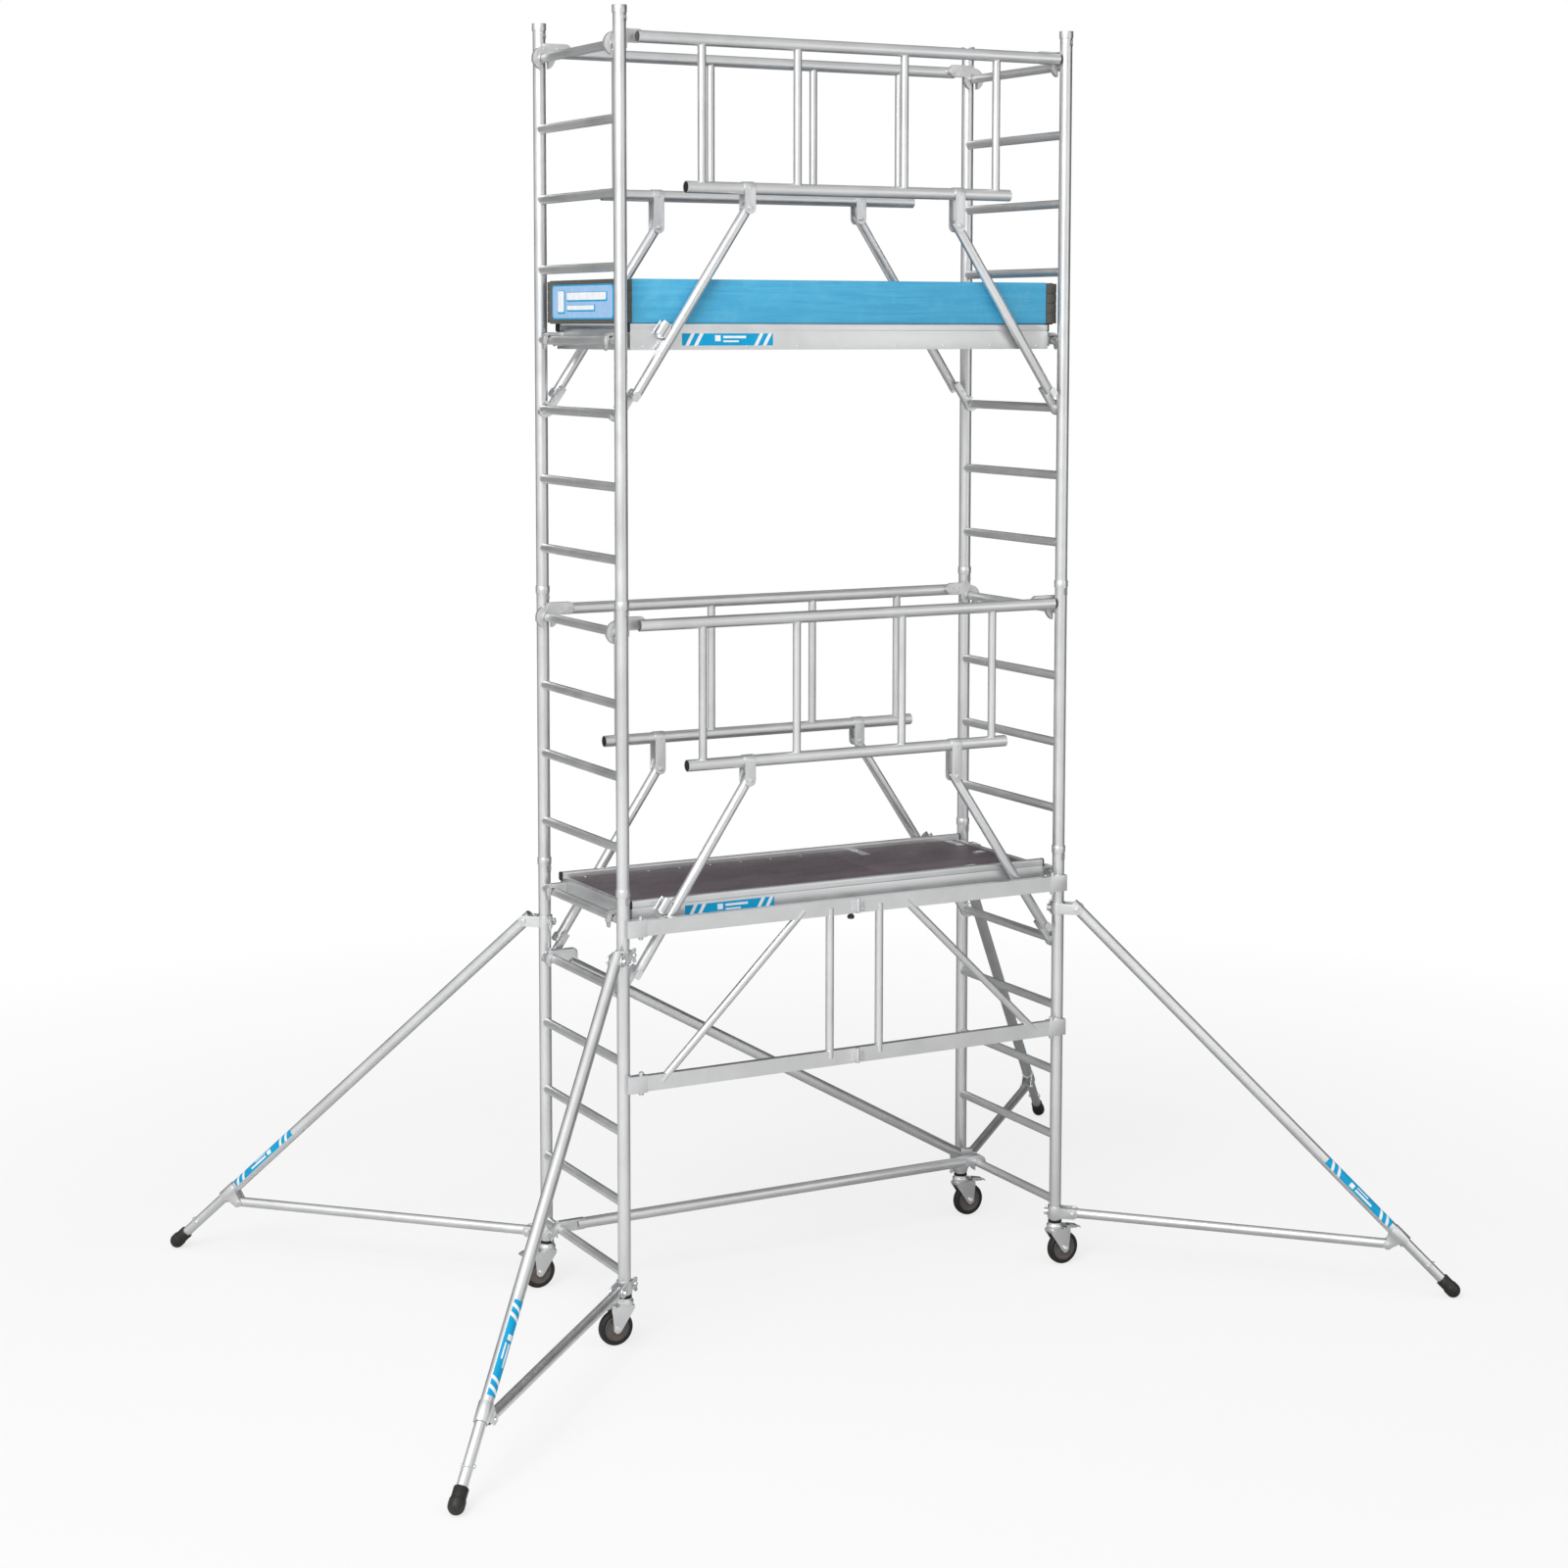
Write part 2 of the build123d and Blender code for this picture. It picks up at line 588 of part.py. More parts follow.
def rear_braces():
    """A long diagonal brace and a low horizontal brace across the back, with end claws."""
    with BuildPart() as braces:
        y = 262
        tube((-840, y, 5 * RUNG_PITCH - 14), (840, y, RUNG_PITCH + 34), 20, 2)
        claw((-HALF_LENGTH, y, 5 * RUNG_PITCH), (0, 0, -1), (1, 0, 0), 22, 32, 92, (-32, 24))
        claw((HALF_LENGTH, y, RUNG_PITCH), (0, 0, -1), (-1, 0, 0), 22, 32, 92, (-46, -4))
        y = 212
        tube((-835, y, RUNG_PITCH + 12), (835, y, RUNG_PITCH + 12), 20, 2)
        for side in SIDES.values():
            claw((side * HALF_LENGTH, y, RUNG_PITCH), (0, 0, -1), (-side, 0, 0), 22, 32, 92, (-32, 8))
    return braces.part


# ---- stabilisers --------------------------------------------------------------------------
class Outrigger:
    """Places points of one stabiliser: out from its upright, across, and up."""

    def __init__(self, corner):
        side, face = CORNERS[corner]
        out_x, out_y = STABILISER_FEET[corner]
        self.x = side * HALF_LENGTH
        self.y = face * HALF_WIDTH
        self.angle = atan2(face * out_y, side * out_x)
        self.reach = hypot(out_x, out_y)
        run = self.reach - LEG_PIVOT[0]
        fall = LEG_PIVOT[1] - FOOT_R
        self.length = hypot(run, fall)
        self.leg_run = run / self.length
        self.leg_fall = fall / self.length

    def at(self, out, across, height):
        """World point, from its distance out, across to the left and up."""
        x = self.x + out * cos(self.angle) - across * sin(self.angle)
        y = self.y + out * sin(self.angle) + across * cos(self.angle)
        return Vector(x, y, height)

    def on_leg(self, distance, across=0, inward=0):
        """World point down the leg from its pivot, moved inward under the leg."""
        out = LEG_PIVOT[0] + distance * self.leg_run - inward * self.leg_fall
        height = LEG_PIVOT[1] - distance * self.leg_fall - inward * self.leg_run
        return self.at(out, across, height)

    def upright_plane(self, across):
        """Vertical plane along the stabiliser: x points out, y is height."""
        out = (cos(self.angle), sin(self.angle), 0)
        normal = (sin(self.angle), -cos(self.angle), 0)
        return Plane(origin=self.at(0, across, 0), x_dir=out, z_dir=normal)

    def leg_axis(self, distance):
        """Distance out and height of a point down the leg from its pivot."""
        return LEG_PIVOT[0] + distance * self.leg_run, LEG_PIVOT[1] - distance * self.leg_fall

    def strut_end(self):
        """Distance out and height of the strut's outer bolt."""
        out = LEG_PIVOT[0] + STRUT_END_ON_LEG * self.leg_run - STRUT_END_OFFSET * self.leg_fall
        height = LEG_PIVOT[1] - STRUT_END_ON_LEG * self.leg_fall - STRUT_END_OFFSET * self.leg_run
        return out, height


def stabiliser_tubes(corner):
    """The leg's outer tube and the lower strut."""
    place = Outrigger(corner)
    strut_out, strut_height = place.strut_end()
    start = Vector(STRUT_PIVOT[0], 0, STRUT_PIVOT[1])
    end = Vector(strut_out, 0, strut_height)
    trim = (end - start).normalized() * 8
    start = start - trim
    end = end + trim
    with BuildPart() as tubes:
        tube(place.on_leg(-27), place.on_leg(LEG_LENGTH), LEG_R, LEG_R - LEG_BORE_R)
        tube(place.at(start.X, 0, start.Z), place.at(end.X, 0, end.Z), STRUT_R, 2)
        hole_r = PIVOT_BOLT_R + 0.1
        for out, height in (LEG_PIVOT, STRUT_PIVOT, place.strut_end()):
            rod(place.at(out, -30, height), place.at(out, 30, height), hole_r, mode=Mode.SUBTRACT)
    return tubes.part


def coupler(place, pivot, gap):
    """Half coupler round the upright with two cheeks, a bolt, and a wing nut on its lug."""
    out, height = pivot
    half = 22
    with BuildSketch(Plane(place.at(0, 0, height - half))) as ring:
        Circle(COUPLER_R)
    extrude(ring.sketch, amount=2 * half)
    for across in (-gap - 2, gap + 2):
        with BuildSketch(place.upright_plane(across)) as cheek:
            with Locations((out / 2 + 6, height)):
                Rectangle(out - 12, 2 * half - 4)
            with Locations((out, height)):
                Circle(half - 2)
        extrude(cheek.sketch, amount=2, both=True)
    rod(place.at(-22, 0, height), place.at(-40, 0, height), 13)
    low_end = place.at(0, 0, height - half - 1)
    high_end = place.at(0, 0, height + half + 1)
    rod(low_end, high_end, COUPLER_BORE_R, mode=Mode.SUBTRACT)
    rod(place.at(out, -gap - 9, height), place.at(out, gap + 9, height), PIVOT_BOLT_R)
    for end in (-1, 1):
        rod(place.at(out, end * (gap + 4), height), place.at(out, end * (gap + 9), height), 9)
    rod(place.at(-33, -20, height), place.at(-33, 26, height), 4)
    rod(place.at(-33, 9, height), place.at(-33, 22, height), 8)
    for wing in (-1, 1):
        rod(place.at(-33, 18, height + wing * 6), place.at(-33, 24, height + wing * 20), 4)


def stabiliser_fittings(corner):
    """Both couplers and the sleeve bracket where the strut meets the leg."""
    place = Outrigger(corner)
    out, height = place.strut_end()
    with BuildPart() as fittings:
        coupler(place, LEG_PIVOT, LEG_R + 0.4)
        coupler(place, STRUT_PIVOT, STRUT_R + 0.4)
        rod(place.on_leg(LEG_LENGTH - 62), place.on_leg(LEG_LENGTH + 4), LEG_R + 3)
        for across in (-STRUT_R - 2.4, STRUT_R + 2.4):
            with BuildSketch(place.upright_plane(across)) as cheek:
                with Locations((out, height)):
                    Circle(17)
                with BuildLine():
                    Polyline(
                        place.leg_axis(STRUT_END_ON_LEG - 28),
                        place.leg_axis(STRUT_END_ON_LEG + 30),
                        (out + 6, height - 15),
                        (out - 15, height + 6),
                        place.leg_axis(STRUT_END_ON_LEG - 28),
                    )
                make_face()
            extrude(cheek.sketch, amount=2, both=True)
        rod(place.on_leg(LEG_LENGTH - 120), place.on_leg(LEG_LENGTH + 20), LEG_R + 0.1, mode=Mode.SUBTRACT)
        bolt_side = STRUT_R + 4.4
        rod(place.at(out, -bolt_side - 5, height), place.at(out, bolt_side + 5, height), PIVOT_BOLT_R)
        for end in (-1, 1):
            rod(place.at(out, end * bolt_side, height), place.at(out, end * (bolt_side + 5), height), 9)
    return fittings.part


def stabiliser_foot(corner):
    """Inner tube with its lock pin and rubber foot; it slides in the leg."""
    place = Outrigger(corner)
    end = place.length
    pin = end - 128
    with BuildPart() as foot:
        rod(place.on_leg(end - 52), place.on_leg(end), FOOT_R - 3)
        with Locations(place.on_leg(end)):
            Sphere(FOOT_R)
        rod(place.on_leg(end - 60), place.on_leg(end - 13), INNER_LEG_R + 0.05, mode=Mode.SUBTRACT)
        tube(place.on_leg(LEG_LENGTH - 260), place.on_leg(end - 14), INNER_LEG_R, 2.5)
        rod(place.on_leg(pin, across=-30), place.on_leg(pin, across=30), 4.2, mode=Mode.SUBTRACT)
        rod(place.on_leg(pin, across=-28), place.on_leg(pin, across=28), 4)
        rod(place.on_leg(pin, across=22), place.on_leg(pin, across=28), 8)
    return foot.part


# ---- write every sub-part -----------------------------------------------------------------
def main():
    os.makedirs("parts", exist_ok=True)
    for name, side in SIDES.items():
        save(end_frame(side, FRAME_FOOT, BASE_TOP, range(1, 7), False, False), f"base_frame_{name}")
        save(end_frame(side, BASE_TOP, MIDDLE_TOP, range(7, 11), True, False), f"middle_frame_{name}")
        save(end_frame(side, MIDDLE_TOP, TOP_TOP, range(11, 19), True, True), f"top_frame_{name}")
        save(truss_half(side), f"truss_{name}")
    save(socket_collars(), "socket_collars")
    save(spring_clips(), "spring_clips")
    save(castor_sockets(), "castor_sockets")
    save(truss_fittings(), "truss_fittings")
    for name, level in DECK_RUNGS.items():
        save(deck_frame(level), f"deck_frame_{name}")
        save(hatch(level), f"hatch_{name}")
    save(deck_boards(), "deck_boards")
    save(deck_claws(), "deck_claws")
    save(plastic_caps(), "plastic_caps")
    save(toe_boards(), "toe_boards")
    save(toe_board_brackets(), "toe_board_brackets")
    for height, level in GUARD_RUNGS.items():
        for where, face in FACES.items():
            save(guardrail(face, level), f"guardrail_{where}_{height}")
        for corner, (side, face) in CORNERS.items():
            save(brace(side, face, level), f"brace_{corner}_{height}")
    save(guardrail_claws(), "guardrail_claws")
    save(guardrail_brackets(), "guardrail_brackets")
    save(rear_braces(), "rear_braces")
    for corner, (side, face) in CORNERS.items():
        save(castor_fork(side, face), f"castor_fork_{corner}")
        save(castor_wheel(side, face), f"castor_wheel_{corner}")
        save(castor_pedal(side, face), f"castor_pedal_{corner}")
        save(stabiliser_tubes(corner), f"stabiliser_tubes_{corner}")
        save(stabiliser_fittings(corner), f"stabiliser_fittings_{corner}")
        save(stabiliser_foot(corner), f"stabiliser_foot_{corner}")


main()
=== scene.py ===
import json
import math

import bmesh
import bpy
from mathutils import Euler, Matrix, Vector


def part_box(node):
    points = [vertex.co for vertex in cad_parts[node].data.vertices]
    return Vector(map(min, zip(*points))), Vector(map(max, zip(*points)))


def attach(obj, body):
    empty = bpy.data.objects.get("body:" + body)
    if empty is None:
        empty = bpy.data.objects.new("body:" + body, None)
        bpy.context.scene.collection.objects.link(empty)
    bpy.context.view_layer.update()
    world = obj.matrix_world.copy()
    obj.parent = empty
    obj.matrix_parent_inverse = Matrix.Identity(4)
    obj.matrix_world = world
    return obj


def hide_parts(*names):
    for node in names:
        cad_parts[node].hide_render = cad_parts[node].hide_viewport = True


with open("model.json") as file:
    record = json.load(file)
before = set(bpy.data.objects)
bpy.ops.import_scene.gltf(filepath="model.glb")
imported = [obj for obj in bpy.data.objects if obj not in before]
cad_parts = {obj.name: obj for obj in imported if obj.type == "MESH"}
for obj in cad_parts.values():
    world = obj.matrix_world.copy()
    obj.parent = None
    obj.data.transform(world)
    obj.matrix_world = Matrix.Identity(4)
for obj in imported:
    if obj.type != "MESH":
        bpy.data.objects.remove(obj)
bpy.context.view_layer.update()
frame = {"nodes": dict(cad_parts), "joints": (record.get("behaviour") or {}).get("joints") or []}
NODES = frame["nodes"]
JOINTS = {joint["name"]: joint for joint in frame["joints"]}
MM = 0.001

CORNERS = {"front_left": (-1, -1), "front_right": (1, -1), "back_left": (-1, 1), "back_right": (1, 1)}
SIDES = {"left": -1, "right": 1}
FACES = {"front": -1, "back": 1}
LEVELS = ("lower", "upper")

# The CAD part's own sizes, in metres
RUNG_PITCH = 0.25
RUNG_R = 0.016
UPRIGHT_R = 0.0225
RAIL_R = 0.021
BALUSTER_R = 0.0145
LEG_R = 0.0215
INNER_LEG_R = 0.0185
FRAMES = {"base": (1, 6), "middle": (7, 10), "top": (11, 18)}
DECK_RUNG = {"lower": 6, "upper": 14}
GUARD_RUNG = {"lower": 10, "upper": 18}
GUARD_Y = 0.335
GUARD_LIFT = 0.024
GUARD_DROP = 0.5
CLAW_Y = 0.293
END_X = 0.9
TRUSS_Y = -0.3775
TRUSS_HEIGHTS = (0.930, 1.478)
TRUSS_FRONT_Y = -0.3921
TRUSS_END_X = 0.850
UPRIGHT_EDGE_Y = 0.3172
DECK_TOP = 0.038
DECK_SIDE_Y = 0.309
DECK_HOOK_Y = 0.272
DECK_TONGUE_Y = 0.262
HINGE_STRAPS_X = (0.365, 0.790)

# Stabilisers: places out from the upright and up from the floor, and distances down the leg
LEG_PIVOT = (0.075, 1.375)
STRUT_PIVOT = (0.070, 0.205)
FOOT_R = 0.027
LABEL_START = 1.295
INNER_LEG_START = 1.44
PIN_ABOVE_FOOT = 0.128


# ---- materials ----------------------------------------------------------------------------
class Look:
    """One procedural material built round a Principled shader."""

    def __init__(self, name, **constants):
        self.material = bpy.data.materials.new(name)
        self.material.use_nodes = True
        self.tree = self.material.node_tree
        self.tree.nodes.clear()
        self.shader = self.add("ShaderNodeBsdfPrincipled")
        output = self.add("ShaderNodeOutputMaterial")
        self.tree.links.new(self.shader.outputs["BSDF"], output.inputs["Surface"])
        for key, value in constants.items():
            self.shader.inputs[key.replace("_", " ")].default_value = value
        self.place = self.add("ShaderNodeTexCoord").outputs["Object"]

    def add(self, kind, **properties):
        node = self.tree.nodes.new(kind)
        for key, value in properties.items():
            setattr(node, key, value)
        return node

    def feed(self, socket, value):
        if isinstance(value, bpy.types.NodeSocket):
            self.tree.links.new(value, socket)
        else:
            socket.default_value = value

    def scaled(self, scale, turn=(0, 0, 0), vector=None):
        node = self.add("ShaderNodeMapping")
        node.inputs["Scale"].default_value = scale
        node.inputs["Rotation"].default_value = turn
        self.feed(node.inputs["Vector"], vector or self.place)
        return node.outputs["Vector"]

    def noise(self, vector, scale, detail=3.0, roughness=0.55, distortion=0.0):
        node = self.add("ShaderNodeTexNoise")
        self.feed(node.inputs["Vector"], vector)
        node.inputs["Scale"].default_value = scale
        node.inputs["Detail"].default_value = detail
        node.inputs["Roughness"].default_value = roughness
        node.inputs["Distortion"].default_value = distortion
        return node.outputs["Fac"]

    def calc(self, operation, a, b=0.0):
        node = self.add("ShaderNodeMath", operation=operation)
        self.feed(node.inputs[0], a)
        self.feed(node.inputs[1], b)
        return node.outputs[0]

    def times(self, a, b):
        return self.calc("MULTIPLY", a, b)

    def plus(self, a, b):
        return self.calc("ADD", a, b)

    def spread(self, value, old, new):
        node = self.add("ShaderNodeMapRange")
        self.feed(node.inputs["Value"], value)
        for key, number in zip(("From Min", "From Max", "To Min", "To Max"), (*old, *new)):
            node.inputs[key].default_value = number
        return node.outputs["Result"]

    def mix(self, factor, a, b):
        node = self.add("ShaderNodeMix", data_type="RGBA")
        self.feed(node.inputs[0], factor)
        for socket, colour in ((node.inputs[6], a), (node.inputs[7], b)):
            self.feed(socket, colour if isinstance(colour, bpy.types.NodeSocket) else (*colour, 1))
        return node.outputs[2]

    def axes(self, vector=None):
        node = self.add("ShaderNodeSeparateXYZ")
        self.feed(node.inputs[0], vector or self.place)
        return node.outputs

    def finish(self, colour, roughness, height, distance=0.0003, strength=0.5):
        self.feed(self.shader.inputs["Base Color"], colour)
        self.feed(self.shader.inputs["Roughness"], roughness)
        bump = self.add("ShaderNodeBump")
        bump.inputs["Strength"].default_value = strength
        bump.inputs["Distance"].default_value = distance
        self.feed(bump.inputs["Height"], height)
        self.tree.links.new(bump.outputs["Normal"], self.shader.inputs["Normal"])
        return self.material


def grey(value, warm=0.0):
    return value * (1 + warm), value, value * (1 - warm)


def metal(name, along=None, tone=0.8, rough=0.30, grain=1.0):
    """Satin metal. along is the tube's axis; "frame" means uprights on Z and rungs on Y."""
    look = Look(name, Metallic=0.92)
    if along == "frame":
        upright = look.noise(look.scaled((1, 1, 0.012)), 420, 3)
        rung = look.noise(look.scaled((1, 0.012, 1)), 420, 3)
        y = look.calc("ABSOLUTE", look.axes()[1])
        streaks = look.mix(look.calc("GREATER_THAN", y, UPRIGHT_EDGE_Y), rung, upright)
        streaks = look.axes(streaks)[0]
    elif along is None:
        streaks = look.noise(look.place, 300, 4)
    else:
        turn = Vector(along).rotation_difference(Vector((0, 0, 1))).to_euler()
        turned = look.scaled((1, 1, 1), tuple(turn))
        streaks = look.noise(look.scaled((1, 1, 0.012), vector=turned), 420, 3)
    smudge = look.noise(look.place, 4.5, 5, 0.62, 0.6)
    dust = look.noise(look.place, 38, 5, 0.7)
    pits = look.noise(look.place, 1400, 2)
    scratch = look.noise(look.scaled((60, 9, 33), (0.4, 0.9, 0.3)), 9, 2, 0.4)
    scratch = look.spread(scratch, (0.665, 0.70), (0, 1))
    low, high = grey(tone * 0.93, -0.006), grey(tone * 1.03, -0.008)
    colour = look.mix(look.spread(smudge, (0.35, 0.65), (0, 1)), low, high)
    colour = look.mix(look.times(streaks, 0.16 * grain), colour, grey(tone * 0.72))
    colour = look.mix(look.times(scratch, 0.25), colour, grey(min(1.0, tone * 1.14)))
    roughness = look.plus(look.spread(smudge, (0.3, 0.7), (rough - 0.05, rough + 0.07)),
                          look.times(streaks, 0.10 * grain))
    roughness = look.plus(roughness, look.times(dust, 0.05))
    height = look.plus(look.times(streaks, 0.5), look.times(pits, 0.35))
    height = look.calc("SUBTRACT", height, look.times(scratch, 0.5))
    return look.finish(colour, roughness, height, 0.00012, 0.35)


def cast_metal(name, tone=0.7, rough=0.42):
    """Sand or die cast: fine grain skin with darker pores."""
    look = Look(name, Metallic=0.85)
    skin = look.noise(look.place, 700, 5, 0.7)
    patch = look.noise(look.place, 22, 4, 0.6)
    pores = look.spread(look.noise(look.place, 380, 2), (0.62, 0.7), (0, 1))
    colour = look.mix(look.spread(patch, (0.3, 0.7), (0, 1)), grey(tone * 0.9), grey(tone * 1.06))
    colour = look.mix(look.times(pores, 0.35), colour, grey(tone * 0.55, 0.02))
    roughness = look.spread(skin, (0.25, 0.75), (rough - 0.05, rough + 0.12))
    height = look.calc("SUBTRACT", skin, look.times(pores, 0.5))
    return look.finish(colour, roughness, height, 0.0003, 0.5)


def zinc(name, tone=0.72, rough=0.27):
    """Zinc plated steel with a faint spangle."""
    look = Look(name, Metallic=1.0)
    cells = look.add("ShaderNodeTexVoronoi")
    cells.inputs["Scale"].default_value = 260
    look.feed(cells.inputs["Vector"], look.place)
    cell = look.axes(cells.outputs["Color"])[0]
    smudge = look.noise(look.place, 30, 4, 0.65)
    fine = look.noise(look.place, 1500, 2)
    colour = look.mix(cell, (tone * 0.93, tone * 0.96, tone), (tone * 1.04, tone * 1.03, tone * 0.99))
    colour = look.mix(look.spread(smudge, (0.55, 0.8), (0, 0.5)), colour, grey(tone * 0.62, 0.02))
    roughness = look.plus(look.spread(smudge, (0.3, 0.7), (rough - 0.06, rough + 0.1)),
                          look.times(cell, 0.06))
    return look.finish(colour, roughness, fine, 0.0001, 0.3)


def moulded(name, colour_a, colour_b, rough, scale=900, specular=0.45, dust_tone=0.16):
    """Moulded plastic or rubber with fine leathered skin and dust in the hollows."""
    look = Look(name, Specular_IOR_Level=specular)
    skin = look.noise(look.place, scale, 4, 0.6)
    patch = look.noise(look.place, 45, 4, 0.6)
    dust = look.spread(look.noise(look.place, 130, 5, 0.75), (0.56, 0.78), (0, 0.5))
    colour = look.mix(patch, colour_a, colour_b)
    colour = look.mix(dust, colour, grey(dust_tone, 0.04))
    roughness = look.spread(skin, (0.25, 0.75), (rough - 0.07, rough + 0.1))
    return look.finish(colour, roughness, skin, 0.0002, 0.5)


def plywood_face():
    """Phenolic coated plywood: dark brown film with a pressed anti-slip mesh and scuffs."""
    look = Look("plywood_film", Specular_IOR_Level=0.4)
    pitch = 1 / 0.006
    turned = look.axes(look.scaled((1, 1, 1), (0, 0, math.radians(45))))
    waves = [look.calc("ABSOLUTE", look.calc("SINE", look.times(c, pitch * math.pi)))
             for c in (turned[0], turned[1])]
    mesh = look.calc("MINIMUM", waves[0], waves[1])
    mesh = look.spread(mesh, (0.0, 0.35), (0, 1))
    patch = look.noise(look.scaled((1, 2.2, 1)), 5, 6, 0.65, 0.5)
    scuff = look.spread(look.noise(look.scaled((2.5, 14, 1), (0, 0, 0.5)), 10, 5, 0.7), (0.6, 0.72), (0, 1))
    dust = look.noise(look.place, 90, 5, 0.7)
    colour = look.mix(look.spread(patch, (0.3, 0.7), (0, 1)), (0.106, 0.086, 0.097), (0.172, 0.141, 0.160))
    gap = look.times(look.calc("SUBTRACT", 1.0, mesh), 0.35)
    colour = look.mix(gap, colour, (0.035, 0.027, 0.030))
    colour = look.mix(look.times(scuff, 0.28), colour, (0.24, 0.21, 0.23))
    colour = look.mix(look.spread(dust, (0.55, 0.8), (0, 0.3)), colour, (0.20, 0.18, 0.19))
    roughness = look.spread(dust, (0.25, 0.75), (0.38, 0.62))
    height = look.plus(look.times(mesh, 0.8), look.times(dust, 0.3))
    return look.finish(colour, roughness, height, 0.0005, 0.6)


def plywood_edge():
    """Birch plies seen on the board's cut edge."""
    look = Look("plywood_edge")
    z = look.axes()[2]
    plies = look.calc("SINE", look.times(z, 2 * math.pi / 0.0028))
    fibre = look.noise(look.scaled((40, 40, 900)), 3, 4)
    colour = look.mix(look.spread(plies, (-0.4, 0.4), (0, 1)), (0.10, 0.06, 0.045), (0.30, 0.20, 0.13))
    colour = look.mix(look.times(fibre, 0.3), colour, (0.12, 0.08, 0.06))
    return look.finish(colour, look.spread(fibre, (0.3, 0.7), (0.5, 0.75)), fibre, 0.0004, 0.5)


def stained_wood(name, along):
    """Blue stained softwood: long grain, darker late wood, knots and rubbed patches."""
    look = Look(name, Specular_IOR_Level=0.35)
    stretch = (0.07, 1, 1) if along == "x" else (1, 0.07, 1)
    base = look.scaled(stretch)
    warp = look.noise(base, 7, 4, 0.6, 1.2)
    rings = look.add("ShaderNodeTexWave", wave_type="BANDS", bands_direction="Z")
    look.feed(rings.inputs["Vector"], base)
    for key, value in (("Scale", 6.0), ("Distortion", 22.0), ("Detail", 5.0), ("Detail Scale", 2.2)):
        rings.inputs[key].default_value = value
    ring = look.spread(rings.outputs["Fac"], (0, 1), (0.34, 0.58))
    fibre = look.noise(look.scaled((0.02, 1, 1) if along == "x" else (1, 0.02, 1)), 620, 5, 0.7)
    streak = look.noise(look.scaled((0.05, 1, 1) if along == "x" else (1, 0.05, 1)), 130, 5, 0.7, 0.6)
    blotch = look.noise(look.place, 11, 6, 0.7, 0.5)
    colour = look.mix(ring, (0.036, 0.315, 0.560), (0.104, 0.470, 0.700))
    colour = look.mix(look.spread(streak, (0.50, 0.72), (0, 0.40)), colour, (0.026, 0.255, 0.455))
    colour = look.mix(look.spread(fibre, (0.48, 0.72), (0, 0.32)), colour, (0.024, 0.240, 0.420))
    colour = look.mix(look.spread(blotch, (0.50, 0.72), (0, 0.40)), colour, (0.135, 0.475, 0.655))
    colour = look.mix(look.spread(warp, (0.60, 0.75), (0, 0.30)), colour, (0.022, 0.235, 0.410))
    roughness = look.spread(fibre, (0.25, 0.75), (0.42, 0.62))
    height = look.plus(look.times(fibre, 0.7), look.times(streak, 0.4))
    return look.finish(colour, roughness, height, 0.0005, 0.5)


def film(name, colour, worn, rough=0.45, specular=0.22):
    """Printed vinyl with slight fading and fine scuffs."""
    look = Look(name, Specular_IOR_Level=specular)
    fade = look.noise(look.place, 26, 4, 0.6)
    scuff = look.spread(look.noise(look.place, 420, 4, 0.7), (0.60, 0.75), (0, 0.35))
    result = look.mix(look.spread(fade, (0.3, 0.7), (0, 1)), colour, tuple(c * 0.88 for c in colour))
    result = look.mix(scuff, result, worn)
    orange_peel = look.noise(look.place, 500, 3)
    roughness = look.spread(fade, (0.3, 0.7), (rough - 0.05, rough + 0.1))
    return look.finish(result, roughness, orange_peel, 0.0001, 0.3)


ALONG_X, ALONG_Y, ALONG_Z = (1, 0, 0), (0, 1, 0), (0, 0, 1)
FRAME_METAL = metal("alu_frame", "frame")
RAIL_METAL = metal("alu_rails", ALONG_X)
PRESSED_METAL = metal("alu_pressed", None, tone=0.79, rough=0.33, grain=0.4)
CAST_METAL = cast_metal("alu_cast")
WELD_METAL = cast_metal("alu_weld", tone=0.74, rough=0.34)
ZINC = zinc("zinc_plate")
BRIGHT_ZINC = metal("zinc_bright", None, tone=0.86, rough=0.30, grain=0.5)
BLACK_PLASTIC = moulded("plastic_black", (0.014, 0.014, 0.014), (0.024, 0.024, 0.023), 0.42)
TYRE_RUBBER = moulded("tyre_rubber", (0.012, 0.012, 0.011), (0.022, 0.021, 0.020), 0.5, 1100, 0.4, 0.10)
CORE_PLASTIC = moulded("wheel_core", (0.098, 0.083, 0.074), (0.135, 0.118, 0.106), 0.42, 700, 0.45, 0.24)
FOOT_RUBBER = moulded("foot_rubber", (0.013, 0.013, 0.012), (0.024, 0.023, 0.021), 0.46, 800, 0.42, 0.12)
PLY_FACE = plywood_face()
PLY_EDGE = plywood_edge()
WOOD_X = stained_wood("blue_wood_long", "x")
WOOD_Y = stained_wood("blue_wood_end", "y")
CYAN_FILM = film("film_cyan", (0.002, 0.345, 0.640), (0.10, 0.45, 0.68))
WHITE_FILM = film("film_white", (0.86, 0.87, 0.88), (0.66, 0.67, 0.68))
PALE_FILM = film("film_pale", (0.34, 0.54, 0.80), (0.46, 0.64, 0.82))
TRIM_GREY = moulded("trim_grey", (0.074, 0.070, 0.058), (0.104, 0.098, 0.084), 0.45, 500, 0.4, 0.2)
DARK_TRIM = moulded("trim_dark", (0.012, 0.012, 0.014), (0.024, 0.025, 0.027), 0.6, 600, 0.22, 0.08)


